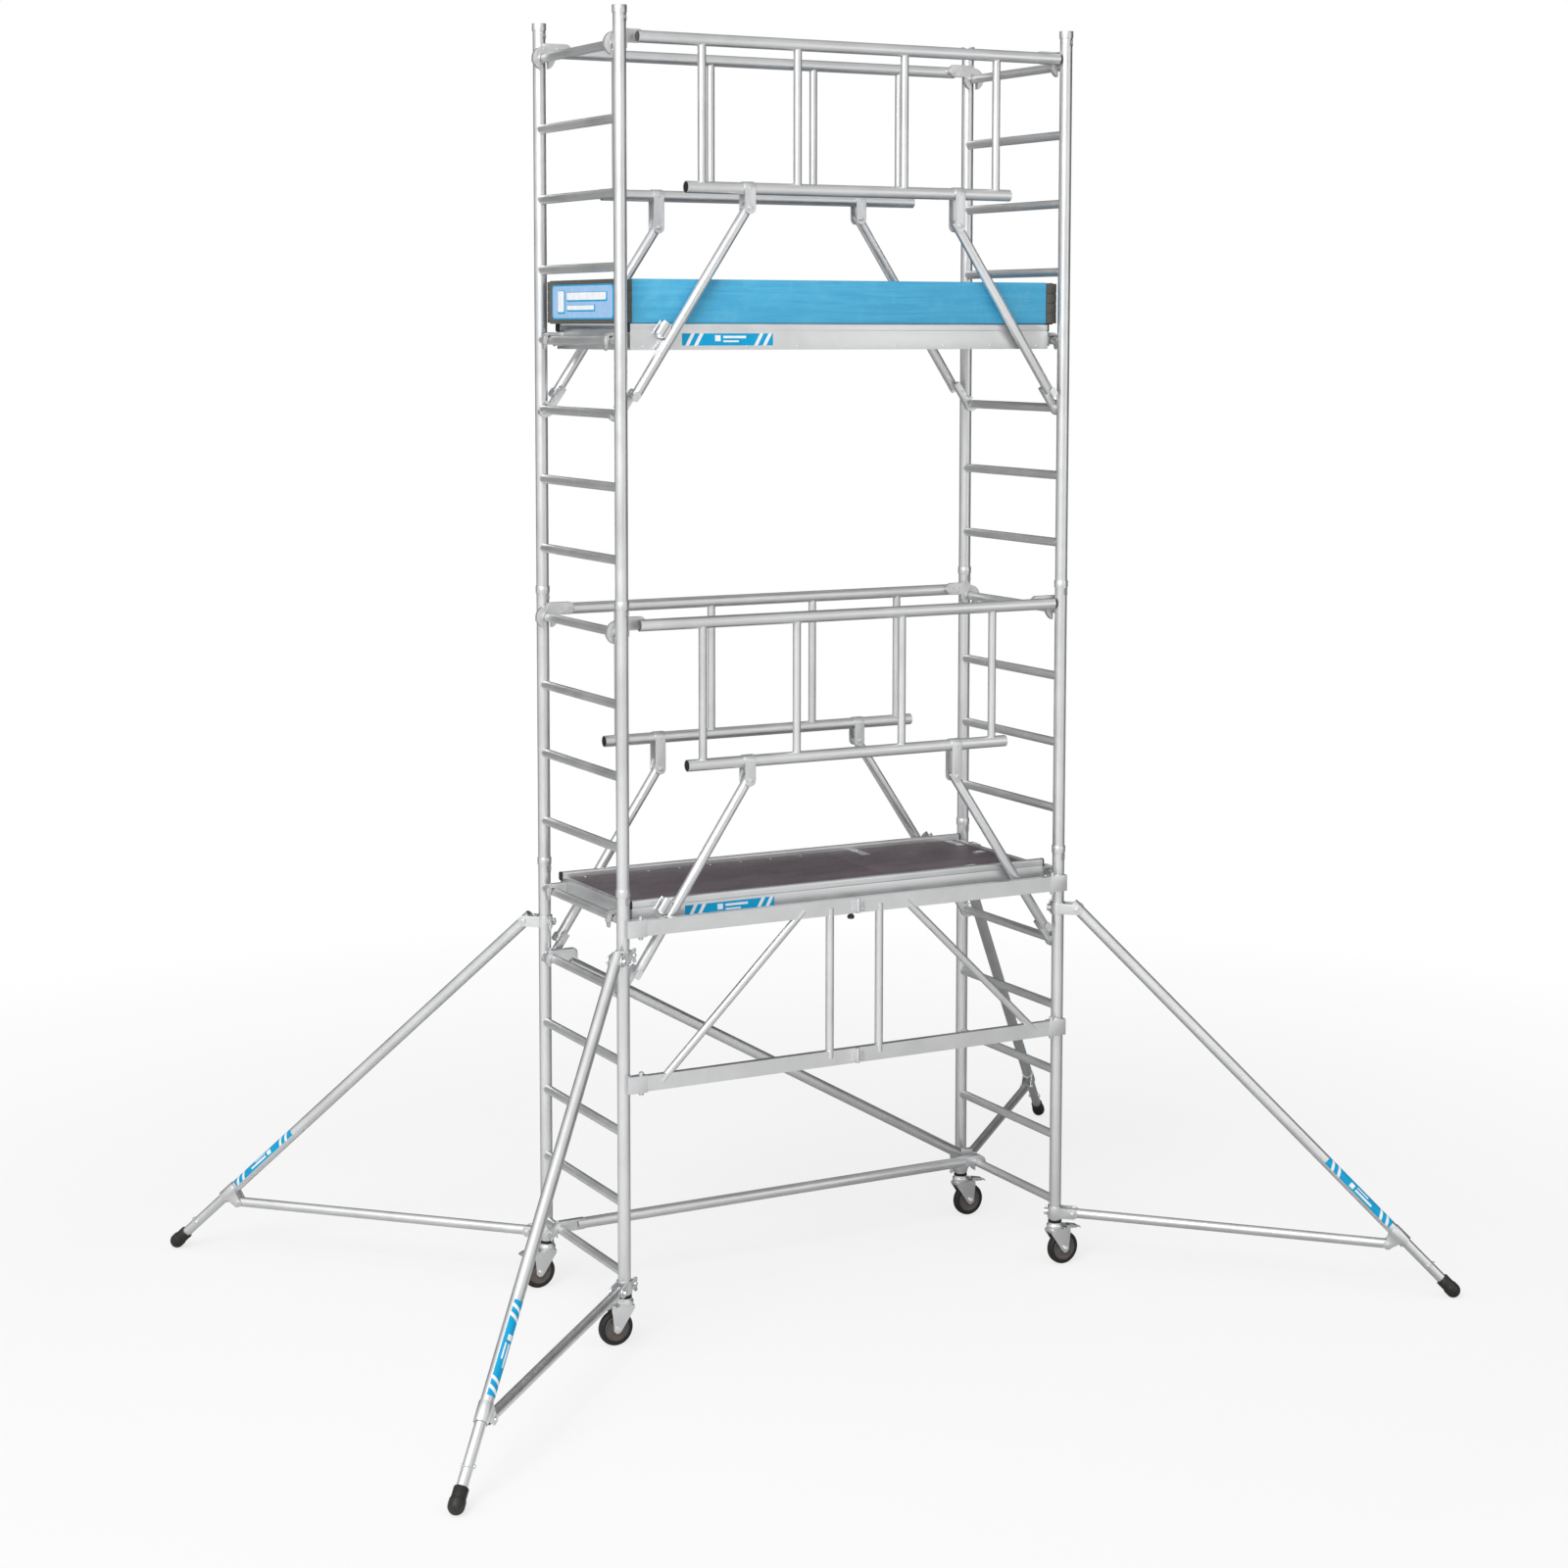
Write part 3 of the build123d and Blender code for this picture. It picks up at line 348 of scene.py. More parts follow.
# ---- mesh helpers -------------------------------------------------------------------------
def frame_of(origin, axis, up=None):
    """A matrix whose Z runs along axis and whose Y is as near to up as it can be."""
    z = Vector(axis).normalized()
    guide = Vector(up) if up is not None else (Vector((0, 0, 1)) if abs(z.z) < 0.9 else Vector((1, 0, 0)))
    x = guide.cross(z).normalized()
    y = z.cross(x)
    matrix = Matrix((x, y, z)).transposed().to_4x4()
    matrix.translation = origin
    return matrix


def lathe(bm, origin, axis, profile, steps=32, closed=False):
    """Turns a profile of (radius, height) points about an axis."""
    matrix = frame_of(origin, axis)
    rings = []
    for radius, height in profile:
        if radius < 1e-7:
            rings.append([bm.verts.new(matrix @ Vector((0, 0, height)))])
            continue
        ring = []
        for i in range(steps):
            turn = 2 * math.pi * i / steps
            spot = Vector((radius * math.cos(turn), radius * math.sin(turn), height))
            ring.append(bm.verts.new(matrix @ spot))
        rings.append(ring)
    pairs = list(zip(rings, rings[1:]))
    if closed:
        pairs.append((rings[-1], rings[0]))
    for a, b in pairs:
        for i in range(steps):
            j = (i + 1) % steps
            if len(a) == 1 and len(b) == 1:
                break
            if len(a) == 1:
                bm.faces.new((a[0], b[i], b[j]))
            elif len(b) == 1:
                bm.faces.new((a[i], a[j], b[0]))
            else:
                bm.faces.new((a[i], a[j], b[j], b[i]))


def rod(bm, start, end, radius, steps=16, chamfer=0.0004):
    axis = Vector(end) - Vector(start)
    length = axis.length
    profile = ((0, 0), (radius - chamfer, 0), (radius, chamfer), (radius, length - chamfer),
               (radius - chamfer, length), (0, length))
    lathe(bm, Vector(start), axis, profile, steps)


def pipe(bm, start, end, radius, wall, steps=40):
    axis = Vector(end) - Vector(start)
    length = axis.length
    inner, edge = radius - wall, 0.0004
    profile = ((radius - edge, 0), (radius, edge), (radius, length - edge), (radius - edge, length),
               (inner, length), (inner, 0))
    lathe(bm, Vector(start), axis, profile, steps, closed=True)


def wire(bm, points, radius, steps=8, closed=False):
    """A round wire through points."""
    points = [Vector(p) for p in points]
    count = len(points)
    rings = []
    side = None
    for i, point in enumerate(points):
        before = points[i - 1] if i or closed else point
        after = points[(i + 1) % count] if i + 1 < count or closed else point
        tangent = (after - before).normalized()
        if side is None:
            side = tangent.orthogonal().normalized()
        side = (side - tangent * side.dot(tangent)).normalized()
        other = tangent.cross(side)
        rings.append([bm.verts.new(point + (side * math.cos(t) + other * math.sin(t)) * radius)
                      for t in (2 * math.pi * k / steps for k in range(steps))])
    pairs = list(zip(rings, rings[1:]))
    if closed:
        pairs.append((rings[-1], rings[0]))
    for a, b in pairs:
        for i in range(steps):
            j = (i + 1) % steps
            bm.faces.new((a[i], a[j], b[j], b[i]))
    if not closed:
        bm.faces.new(rings[0])
        bm.faces.new(rings[-1])


def dome(bm, centre, normal, radius, height, steps=12):
    profile = ((radius, 0), (radius * 0.97, height * 0.35), (radius * 0.75, height * 0.75),
               (radius * 0.4, height * 0.96), (0, height))
    lathe(bm, Vector(centre), normal, ((0, 0),) + profile, steps)


def hex_bolt(bm, centre, normal, width, height):
    """A washer with a chamfered hexagon head on it."""
    normal = Vector(normal).normalized()
    radius = width / 2 / math.cos(math.pi / 6)
    washer = width * 0.72
    lathe(bm, Vector(centre), normal, ((0, 0), (washer, 0), (washer, 0.0012), (0, 0.0012)), 20)
    base = Vector(centre) + normal * 0.0012
    profile = ((0, 0), (radius, 0), (radius, height * 0.78), (radius * 0.84, height), (0, height))
    lathe(bm, base, normal, profile, 6)


def plate(bm, matrix, outline, thickness):
    """Extrudes a flat outline both ways from its plane."""
    half = thickness / 2
    top = [bm.verts.new(matrix @ Vector((x, y, half))) for x, y in outline]
    low = [bm.verts.new(matrix @ Vector((x, y, -half))) for x, y in outline]
    bm.faces.new(top)
    bm.faces.new(list(reversed(low)))
    count = len(outline)
    for i in range(count):
        j = (i + 1) % count
        bm.faces.new((low[i], low[j], top[j], top[i]))


def block(bm, a, b):
    """A box between two opposite corners."""
    low, high = Vector(map(min, a, b)), Vector(map(max, a, b))
    size = high - low
    middle = (high + low) / 2
    bmesh.ops.create_cube(bm, size=1, matrix=Matrix.Translation(middle) @ Matrix.Diagonal((*size, 1)))


def round_outline(width, height, radius, steps=5):
    points = []
    for cx, cy, start in ((1, 1, 0), (-1, 1, 90), (-1, -1, 180), (1, -1, 270)):
        for i in range(steps + 1):
            turn = math.radians(start + 90 * i / steps)
            points.append((cx * (width / 2 - radius) + radius * math.cos(turn),
                           cy * (height / 2 - radius) + radius * math.sin(turn)))
    return points


def soften(bm, width, angle=35):
    """Rounds every edge that is sharper than angle."""
    limit = math.radians(angle)
    edges = [e for e in bm.edges if len(e.link_faces) == 2 and e.calc_face_angle(0) > limit]
    if edges:
        bmesh.ops.bevel(bm, geom=edges, offset=width, offset_type="OFFSET", segments=2,
                        profile=0.55, affect="EDGES", clamp_overlap=True)


def islands(bm):
    """The separate shells of a mesh, each as a list of vertices."""
    seen, found = set(), []
    for vert in bm.verts:
        if vert in seen:
            continue
        group, queue = [], [vert]
        seen.add(vert)
        while queue:
            v = queue.pop()
            group.append(v)
            for edge in v.link_edges:
                other = edge.other_vert(v)
                if other not in seen:
                    seen.add(other)
                    queue.append(other)
        found.append(group)
    return found


def shells_of(node):
    """Each solid of a CAD node as its own mesh, welded and with its flat faces whole."""
    whole = bmesh.new()
    whole.from_mesh(NODES[node].data)
    bmesh.ops.remove_doubles(whole, verts=whole.verts, dist=2e-6)
    result = []
    for group in islands(whole):
        index = {v: i for i, v in enumerate(group)}
        part = bmesh.new()
        verts = [part.verts.new(v.co) for v in group]
        faces = {f for v in group for f in v.link_faces}
        for face in sorted(faces, key=lambda f: f.index):
            part.faces.new([verts[index[v]] for v in face.verts])
        bmesh.ops.dissolve_limit(part, angle_limit=math.radians(0.8), verts=part.verts, edges=part.edges)
        low = Vector(map(min, *[v.co for v in part.verts]))
        high = Vector(map(max, *[v.co for v in part.verts]))
        result.append((part, low, high))
    whole.free()
    return result


def round_corners(part, radius):
    """Rounds the far corners of a claw's cheeks, which stand square to Y."""
    chosen = []
    for edge in part.edges:
        along = edge.verts[0].co - edge.verts[1].co
        if len(edge.link_faces) != 2 or along.length > 0.03 or abs(along.normalized().y) < 0.99:
            continue
        nearby = [other for vert in edge.verts for other in vert.link_edges if other is not edge]
        roomy = all(other.calc_length() > radius * 1.3 for other in nearby)
        if roomy and edge.calc_face_angle_signed(0) > math.radians(70):
            chosen.append(edge)
    if chosen:
        bmesh.ops.bevel(part, geom=chosen, offset=radius, offset_type="OFFSET", segments=6, profile=0.5,
                        affect="EDGES", clamp_overlap=True)


def absorb(bm, part):
    """Moves one mesh into another."""
    mesh = bpy.data.meshes.new("part")
    part.to_mesh(mesh)
    part.free()
    bm.from_mesh(mesh)
    bpy.data.meshes.remove(mesh)


def add_shells(bm, shells, width, angle=35, corner=0.0):
    """Adds CAD solids to a mesh with their edges rounded."""
    for part, _, _ in shells:
        if corner:
            round_corners(part, corner)
        soften(part, width, angle)
        absorb(bm, part)


def piece(name, bm, body, materials, stands_for=(), angle=40):
    """Makes a smooth shaded object of a mesh and puts it on its body."""
    bmesh.ops.recalc_face_normals(bm, faces=bm.faces)
    mesh = bpy.data.meshes.new(name)
    bm.to_mesh(mesh)
    bm.free()
    for material in materials if isinstance(materials, (list, tuple)) else [materials]:
        mesh.materials.append(material)
    mesh.shade_smooth()
    mesh.set_sharp_from_angle(angle=math.radians(angle))
    obj = bpy.data.objects.new(name, mesh)
    bpy.context.scene.collection.objects.link(obj)
    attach(obj, body)
    if stands_for:
        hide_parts(*stands_for)
    return obj


def dress(node, material):
    """Gives a CAD node its finished material."""
    for place in NODES[node].material_slots:
        place.material = material


def weld(bm, centre, branch, host, radius, host_radius, bead=0.0017, steps=30):
    """A weld bead where a round branch meets a round host; host_radius None means a flat face."""
    branch, host = Vector(branch).normalized(), Vector(host).normalized()
    across = branch.cross(host).normalized()
    points = []
    for i in range(steps):
        turn = 2 * math.pi * i / steps
        sideways = radius * math.cos(turn)
        reach = math.sqrt(max(host_radius ** 2 - sideways ** 2, 0)) if host_radius else 0
        points.append(Vector(centre) + across * sideways + host * (radius * math.sin(turn)) + branch * reach)
    wire(bm, points, bead, 6, closed=True)


# ---- where things are ---------------------------------------------------------------------
def joint_place(name):
    return Vector(JOINTS[name]["pos_m"])


def upright(corner):
    place = joint_place(f"castor_{corner}_swivel")
    return place.x, place.y


def leg_axis(corner):
    return Vector(JOINTS[f"foot_{corner}_slide"]["axis"]).normalized()


def leg_point(corner, distance):
    """A point down a stabiliser's leg, measured from its top bolt."""
    x, y = upright(corner)
    axis = leg_axis(corner)
    flat = Vector((axis.x, axis.y, 0)).normalized()
    return Vector((x, y, 0)) + flat * LEG_PIVOT[0] + Vector((0, 0, LEG_PIVOT[1])) + axis * distance


def leg_length(corner):
    """Distance down the leg to the middle of the ball that stands on the floor."""
    return (LEG_PIVOT[1] - FOOT_R) / -leg_axis(corner).z


FRAME_TOP = {name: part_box(f"{name}_frame_left")[1].z for name in FRAMES}


# ---- end frames ---------------------------------------------------------------------------
def frame_welds():
    for name, (first, last) in FRAMES.items():
        for where, side in SIDES.items():
            dress(f"{name}_frame_{where}", FRAME_METAL)
            bm = bmesh.new()
            for rung in range(first, last + 1):
                for face in FACES.values():
                    x, y = side * upright("back_right")[0], face * upright("back_right")[1]
                    centre = (x, y, rung * RUNG_PITCH)
                    weld(bm, centre, (0, -face, 0), ALONG_Z, RUNG_R, UPRIGHT_R)
            piece(f"welds_{name}_{where}", bm, "tower", WELD_METAL)


def collars():
    """Turned socket rings with a slotted skirt, a sprung clip and its button."""
    rings, clips = bmesh.new(), bmesh.new()
    r = UPRIGHT_R
    for corner in CORNERS:
        x, y = upright(corner)
        for top in FRAME_TOP.values():
            profile = ((r + 0.0001, -0.026), (0.0246, -0.026), (0.0254, -0.0252), (0.0254, -0.0195),
                       (0.0249, -0.0190), (0.0249, -0.0175), (0.0254, -0.0170), (0.0254, -0.0012),
                       (0.0246, 0.0), (r + 0.0001, 0.0))
            lathe(rings, Vector((x, y, top)), ALONG_Z, profile, 48, closed=True)
            low = top - 0.054
            band = []
            for i in range(25):
                turn = math.radians(-92 + 184 * i / 24)
                flare = 0.0012 * max(0.0, abs(i - 12) - 9) / 3
                band.append(((r + 0.0002 + flare) * math.cos(turn), (r + 0.0002 + flare) * math.sin(turn)))
            outer = [(px * (1 + 0.0013 / math.hypot(px, py)), py * (1 + 0.0013 / math.hypot(px, py)))
                     for px, py in band]
            matrix = Matrix.Translation((x, y, low + 0.012))
            plate(clips, matrix, band + outer[::-1], 0.022)
            for step in range(5):
                turn = math.radians(-44 - 11 * step)
                reach = r + 0.0012
                centre = Vector((x + reach * math.cos(turn), y + reach * math.sin(turn), low + 0.012))
                out = Vector((math.cos(turn), math.sin(turn), 0))
                slot = frame_of(centre, out)
                plate(clips, slot, round_outline(0.0018, 0.0150, 0.0008, 2), 0.0016)
            centre = Vector((x + r, y, low + 0.012))
            button = ((0, 0), (0.0042, 0), (0.0042, 0.0030), (0.0030, 0.0042), (0, 0.0045))
            lathe(clips, centre, ALONG_X, button, 16)
    piece("frame_collars", rings, "tower", PRESSED_METAL, ("socket_collars",))
    piece("frame_clips", clips, "tower", ZINC, ("spring_clips",))


def castor_stems():
    """A black dust ring and the plated stem with its shoulder, under each upright."""
    bm, rings = bmesh.new(), bmesh.new()
    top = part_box("castor_sockets")[1].z
    for corner in CORNERS:
        x, y = upright(corner)
        profile = ((0.0104, 0.1662), (0.0252, 0.1662), (0.0262, 0.1672), (0.0262, 0.1690), (0.0240, 0.1700),
                   (0.0240, 0.1712), (0.0256, 0.1722), (0.0256, 0.1750), (0.0246, 0.1758), (0.0104, 0.1758))
        lathe(rings, Vector((x, y, 0)), ALONG_Z, profile, 40, closed=True)
        rod(bm, (x, y, 0.1432), (x, y, 0.176), 0.0098, 24)
        profile = ((0.0002, 0.1762), (0.0198, 0.1762), (0.0198, top), (0.0002, top))
        lathe(bm, Vector((x, y, 0)), ALONG_Z, profile, 32, closed=True)
    piece("castor_stems", bm, "tower", ZINC)
    piece("castor_dust_rings", rings, "tower", BLACK_PLASTIC, ("castor_sockets",))


# ---- castors ------------------------------------------------------------------------------
def castor(corner):
    side = CORNERS[corner][0]
    hub = joint_place(f"wheel_{corner}_spin")
    x, y = upright(corner)
    tyre, core = bmesh.new(), bmesh.new()
    m = MM
    profile = [(45.6, -13.6), (49.5, -15.0), (54.5, -15.6), (58.6, -14.2), (61.3, -10.8), (62.35, -5.5),
               (62.5, 0), (62.35, 5.5), (61.3, 10.8), (58.6, 14.2), (54.5, 15.6), (49.5, 15.0), (45.6, 13.6)]
    lathe(tyre, hub, ALONG_Y, [(r * m, h * m) for r, h in profile], 72, closed=True)
    half = [(6.1, 18.4), (14.2, 18.4), (16.2, 17.4), (17.0, 14.6), (19.5, 11.6), (22.0, 10.9), (37.6, 10.4),
            (39.4, 11.6), (40.0, 13.6), (41.6, 14.5), (44.0, 14.4), (45.5, 12.9)]
    profile = half + [(r, -h) for r, h in reversed(half)]
    lathe(core, hub, ALONG_Y, [(r * m, h * m) for r, h in profile], 64, closed=True)
    for end in (-1, 1):
        for i in range(6):
            turn = 2 * math.pi * i / 6
            centre = hub + Vector((math.cos(turn) * 0.030, end * 0.0100, math.sin(turn) * 0.030))
            dome(core, centre, (0, end, 0), 0.0034, 0.0012, 12)
    piece(f"tyre_{corner}", tyre, f"wheel_{corner}", TYRE_RUBBER, (f"castor_wheel_{corner}",))
    piece(f"wheel_core_{corner}", core, f"wheel_{corner}", CORE_PLASTIC)

    fork = bmesh.new()
    add_shells(fork, shells_of(f"castor_fork_{corner}"), 0.0007)
    profile = ((0.0150, 0.1440), (0.0305, 0.1440), (0.0318, 0.1455), (0.0318, 0.1495), (0.0306, 0.1505),
               (0.0306, 0.1515), (0.0318, 0.1525), (0.0316, 0.1560), (0.0290, 0.1595), (0.0150, 0.1595))
    lathe(fork, Vector((x, y, 0)), ALONG_Z, profile, 48, closed=True)
    for end in (-1, 1):
        hex_bolt(fork, hub + Vector((0, end * 0.0285, 0)), (0, end, 0), 0.0125, 0.0035)
        pin = joint_place(f"pedal_{corner}_tip") + Vector((0, end * 0.0250, 0))
        dome(fork, pin, (0, end, 0), 0.0048, 0.0022, 14)
        for dx in (-16, 14):
            spot = Vector((x + side * dx * m, y + end * 0.0232, 0.1345))
            dome(fork, spot, (0, end, 0), 0.0026, 0.0013, 10)
    piece(f"fork_{corner}", fork, f"castor_{corner}", BRIGHT_ZINC, (f"castor_fork_{corner}",))

    pedal = bmesh.new()
    add_shells(pedal, shells_of(f"castor_pedal_{corner}"), 0.0008)
    for end in (-1, 1):
        cheek = Matrix(((side, 0, 0, x), (0, 0, 1, y + end * 0.0148), (0, 1, 0, 0), (0, 0, 0, 1)))
        outline = ((0.048, 0.1500), (0.060, 0.1488), (0.102, 0.1400), (0.1035, 0.1372),
                   (0.100, 0.1345), (0.094, 0.1352), (0.087, 0.1330), (0.080, 0.1352),
                   (0.073, 0.1340), (0.064, 0.1365), (0.050, 0.1400))
        plate(pedal, cheek, outline, 0.0020)
    for i in range(4):
        px = x + side * (70 + 8 * i) * m
        pz = (149.0 - (8 + 8 * i) * 0.222) * m
        rod(pedal, (px, y - 0.0145, pz), (px, y + 0.0145, pz), 0.0011, 8, 0.0002)
    piece(f"pedal_{corner}", pedal, f"pedal_{corner}", ZINC, (f"castor_pedal_{corner}",))


# ---- decks --------------------------------------------------------------------------------
def board_faces(bm):
    """Marks the cut edges of a board, so that they show their plies."""
    bm.normal_update()
    for face in bm.faces:
        face.material_index = 0 if abs(face.normal.z) > 0.5 else 1


def decks():
    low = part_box("deck_boards")[0]
    bm = bmesh.new()
    add_shells(bm, shells_of("deck_boards"), 0.0012)
    board_faces(bm)
    piece("deck_plywood", bm, "tower", [PLY_FACE, PLY_EDGE], ("deck_boards",))
    for level in LEVELS:
        base = DECK_RUNG[level] * RUNG_PITCH
        top = base + DECK_TOP
        shells = shells_of(f"hatch_{level}")
        board = bmesh.new()
        add_shells(board, [s for s in shells if s[2].x - s[1].x > 0.3], 0.0012)
        board_faces(board)
        body = f"hatch_{level}"
        piece(f"hatch_panel_{level}", board, body, [PLY_FACE, PLY_EDGE], (f"hatch_{level}",))
        straps = bmesh.new()
        add_shells(straps, [s for s in shells if s[2].x - s[1].x <= 0.3], 0.0007)
        y_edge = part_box(f"hatch_{level}")[1].y
        hinge = joint_place(f"hatch_{level}_hinge")
        for x in HINGE_STRAPS_X:
            for dy in (0.018, 0.050, 0.085):
                dome(straps, (x - 0.008, y_edge - dy, top + 0.0024), ALONG_Z, 0.0034, 0.0018)
                dome(straps, (x + 0.008, y_edge - dy, top + 0.0024), ALONG_Z, 0.0034, 0.0018)
            pin_z = hinge.z + 0.0002
            rod(straps, (x - 0.017, hinge.y, pin_z), (x + 0.017, hinge.y, pin_z), 0.0018, 14)
        for x, y in ((0.60, -0.205), (0.775, 0.02)):
            plate(straps, Matrix.Translation((x, y, top + 0.001)), round_outline(0.052, 0.026, 0.006), 0.0018)
            wire(straps, [(x - 0.016, y, top + 0.0015), (x - 0.014, y, top + 0.0036), (x, y, top + 0.0042),
                          (x + 0.014, y, top + 0.0036), (x + 0.016, y, top + 0.0015)], 0.0018)
        piece(f"hatch_fittings_{level}", straps, body, PRESSED_METAL)

        frame_bm = bmesh.new()
        add_shells(frame_bm, shells_of(f"deck_frame_{level}"), 0.0009)
        piece(f"deck_rails_{level}", frame_bm, "tower", RAIL_METAL, (f"deck_frame_{level}",))
        rivets = bmesh.new()
        for face in FACES.values():
            x = low.x + 0.06
            while x < 0.215:
                dome(rivets, (x, face * DECK_HOOK_Y, top), ALONG_Z, 0.0045, 0.0020)
                x += 0.128
            for i in range(9):
                spot = (-0.80 + 0.2 * i, face * DECK_SIDE_Y, base - 0.020)
                dome(rivets, spot, (0, face, 0), 0.0040, 0.0018)
        for side in SIDES.values():
            for y in (-0.2, -0.07, 0.07, 0.2):
                dome(rivets, (side * 0.837, y, top + 0.002), ALONG_Z, 0.0042, 0.0018)
        piece(f"deck_rivets_{level}", rivets, "tower", BRIGHT_ZINC)

    bm = bmesh.new()
    add_shells(bm, shells_of("deck_claws"), 0.0018)
    flaps = []
    for level in LEVELS:
        for side in SIDES.values():
            for face in FACES.values():
                for dx, dz in ((0.034, 0.012), (0.034, -0.012), (0.044, 0.0)):
                    spot = (side * (END_X - dx), face * DECK_HOOK_Y, DECK_RUNG[level] * RUNG_PITCH + dz)
                    dome(bm, spot, (0, face, 0), 0.0035, 0.0018)
                flaps.append((side, face * DECK_TONGUE_Y, DECK_RUNG[level] * RUNG_PITCH))
    for side, y, z in flaps:
        flap = bmesh.new()
        matrix = frame_of(Vector((side * 0.9198, y, z)), (side, 0, 0), ALONG_Z)
        outline = ((0.0250, 0.0190), (-0.0250, 0.0190), (-0.0250, 0.0060), (-0.0120, -0.0300),
                   (-0.0070, -0.0345), (0.0070, -0.0345), (0.0120, -0.0300), (0.0250, 0.0060))
        plate(flap, matrix, outline, 0.0044)
        block(flap, (side * 0.895 - 0.0265, y - 0.0250, z + 0.0168),
              (side * 0.895 + 0.0265, y + 0.0250, z + 0.0206))
        soften(flap, 0.0014)
        dome(flap, (side * 0.922, y + 0.014, z + 0.010), (side, 0, 0), 0.0040, 0.0022)
        dome(flap, (side * 0.922, y, z - 0.022), (side, 0, 0), 0.0036, 0.0018)
        absorb(bm, flap)
    piece("deck_hooks", bm, "tower", CAST_METAL, ("deck_claws",))
    bm = bmesh.new()
    add_shells(bm, shells_of("plastic_caps"), 0.0016)
    piece("rail_plugs", bm, "tower", BLACK_PLASTIC, ("plastic_caps",))


# ---- stickers -----------------------------------------------------------------------------
def skin(bm, surface, corners, low, high, steps_u=2, steps_v=6):
    """A thin closed patch on a surface, between four (u, v) corners."""
    grids = []
    for height in (low, high):
        grid = []
        for i in range(steps_u + 1):
            a = i / steps_u
            row = []
            for j in range(steps_v + 1):
                b = j / steps_v
                u0 = corners[0][0] * (1 - a) + corners[1][0] * a
                u1 = corners[3][0] * (1 - a) + corners[2][0] * a
                v0 = corners[0][1] * (1 - a) + corners[1][1] * a
                v1 = corners[3][1] * (1 - a) + corners[2][1] * a
                row.append(bm.verts.new(surface(u0 * (1 - b) + u1 * b, v0 * (1 - b) + v1 * b, height)))
            grid.append(row)
        grids.append(grid)
    under, over = grids
    for i in range(steps_u):
        for j in range(steps_v):
            bm.faces.new((over[i][j], over[i + 1][j], over[i + 1][j + 1], over[i][j + 1]))
            bm.faces.new((under[i][j], under[i][j + 1], under[i + 1][j + 1], under[i + 1][j]))
    for j in range(steps_v):
        bm.faces.new((under[0][j], over[0][j], over[0][j + 1], under[0][j + 1]))
        bm.faces.new((under[-1][j], under[-1][j + 1], over[-1][j + 1], over[-1][j]))
    for i in range(steps_u):
        bm.faces.new((under[i][0], under[i + 1][0], over[i + 1][0], over[i][0]))
        bm.faces.new((under[i][-1], over[i][-1], over[i + 1][-1], under[i + 1][-1]))


def sticker(name, surface, length, width, body, steps_v=6):
    """A cyan strip with two slanted white bars at each end and plain bars between."""
    base, bars = bmesh.new(), bmesh.new()
    half = width / 2
    outline = ((0, -half), (length, -half), (length, half), (0, half))
    skin(base, surface, outline, 0.00002, 0.0003, 24, steps_v)
    lean = width * 0.55
    bar = width * 0.34
    for start in (0.035, 0.130, 0.790, 0.885):
        u = start * length
        corners = ((u, -half), (u + bar, -half), (u + bar + lean, half), (u + lean, half))
        skin(bars, surface, corners, 0.00031, 0.0005, 2, steps_v)
    for u0, u1, v0, v1 in ((0.36, 0.42, -0.14, 0.34), (0.45, 0.70, 0.10, 0.30), (0.45, 0.62, -0.22, -0.08)):
        corners = ((u0 * length, v0 * width), (u1 * length, v0 * width),
                   (u1 * length, v1 * width), (u0 * length, v1 * width))
        skin(bars, surface, corners, 0.00031, 0.0005, 4, max(2, steps_v // 2))
    piece(f"{name}_film", base, body, CYAN_FILM)
    piece(f"{name}_bars", bars, body, WHITE_FILM)


def stickers():
    for level in LEVELS:
        z = DECK_RUNG[level] * RUNG_PITCH + 0.004
        x = -0.646 if level == "lower" else -0.653
        sticker(f"label_deck_{level}",
                lambda u, v, h, z=z, x=x: Vector((x + u, -DECK_SIDE_Y - h, z + v)), 0.355, 0.042, "tower", 2)
    for corner in CORNERS:
        axis = leg_axis(corner)
        up = Vector((0, 0, 1))
        top = (up - axis * up.dot(axis)).normalized()
        across = axis.cross(top)
        if across.y > 0:
            across = -across

        def surface(u, v, h, corner=corner, top=top, across=across):
            turn = v / LEG_R + math.radians(52)
            out = top * math.cos(turn) + across * math.sin(turn)
            return leg_point(corner, LABEL_START + u) + out * (LEG_R + h)

        sticker(f"label_leg_{corner}", surface, 0.325, 0.036, f"stabiliser_{corner}", 8)


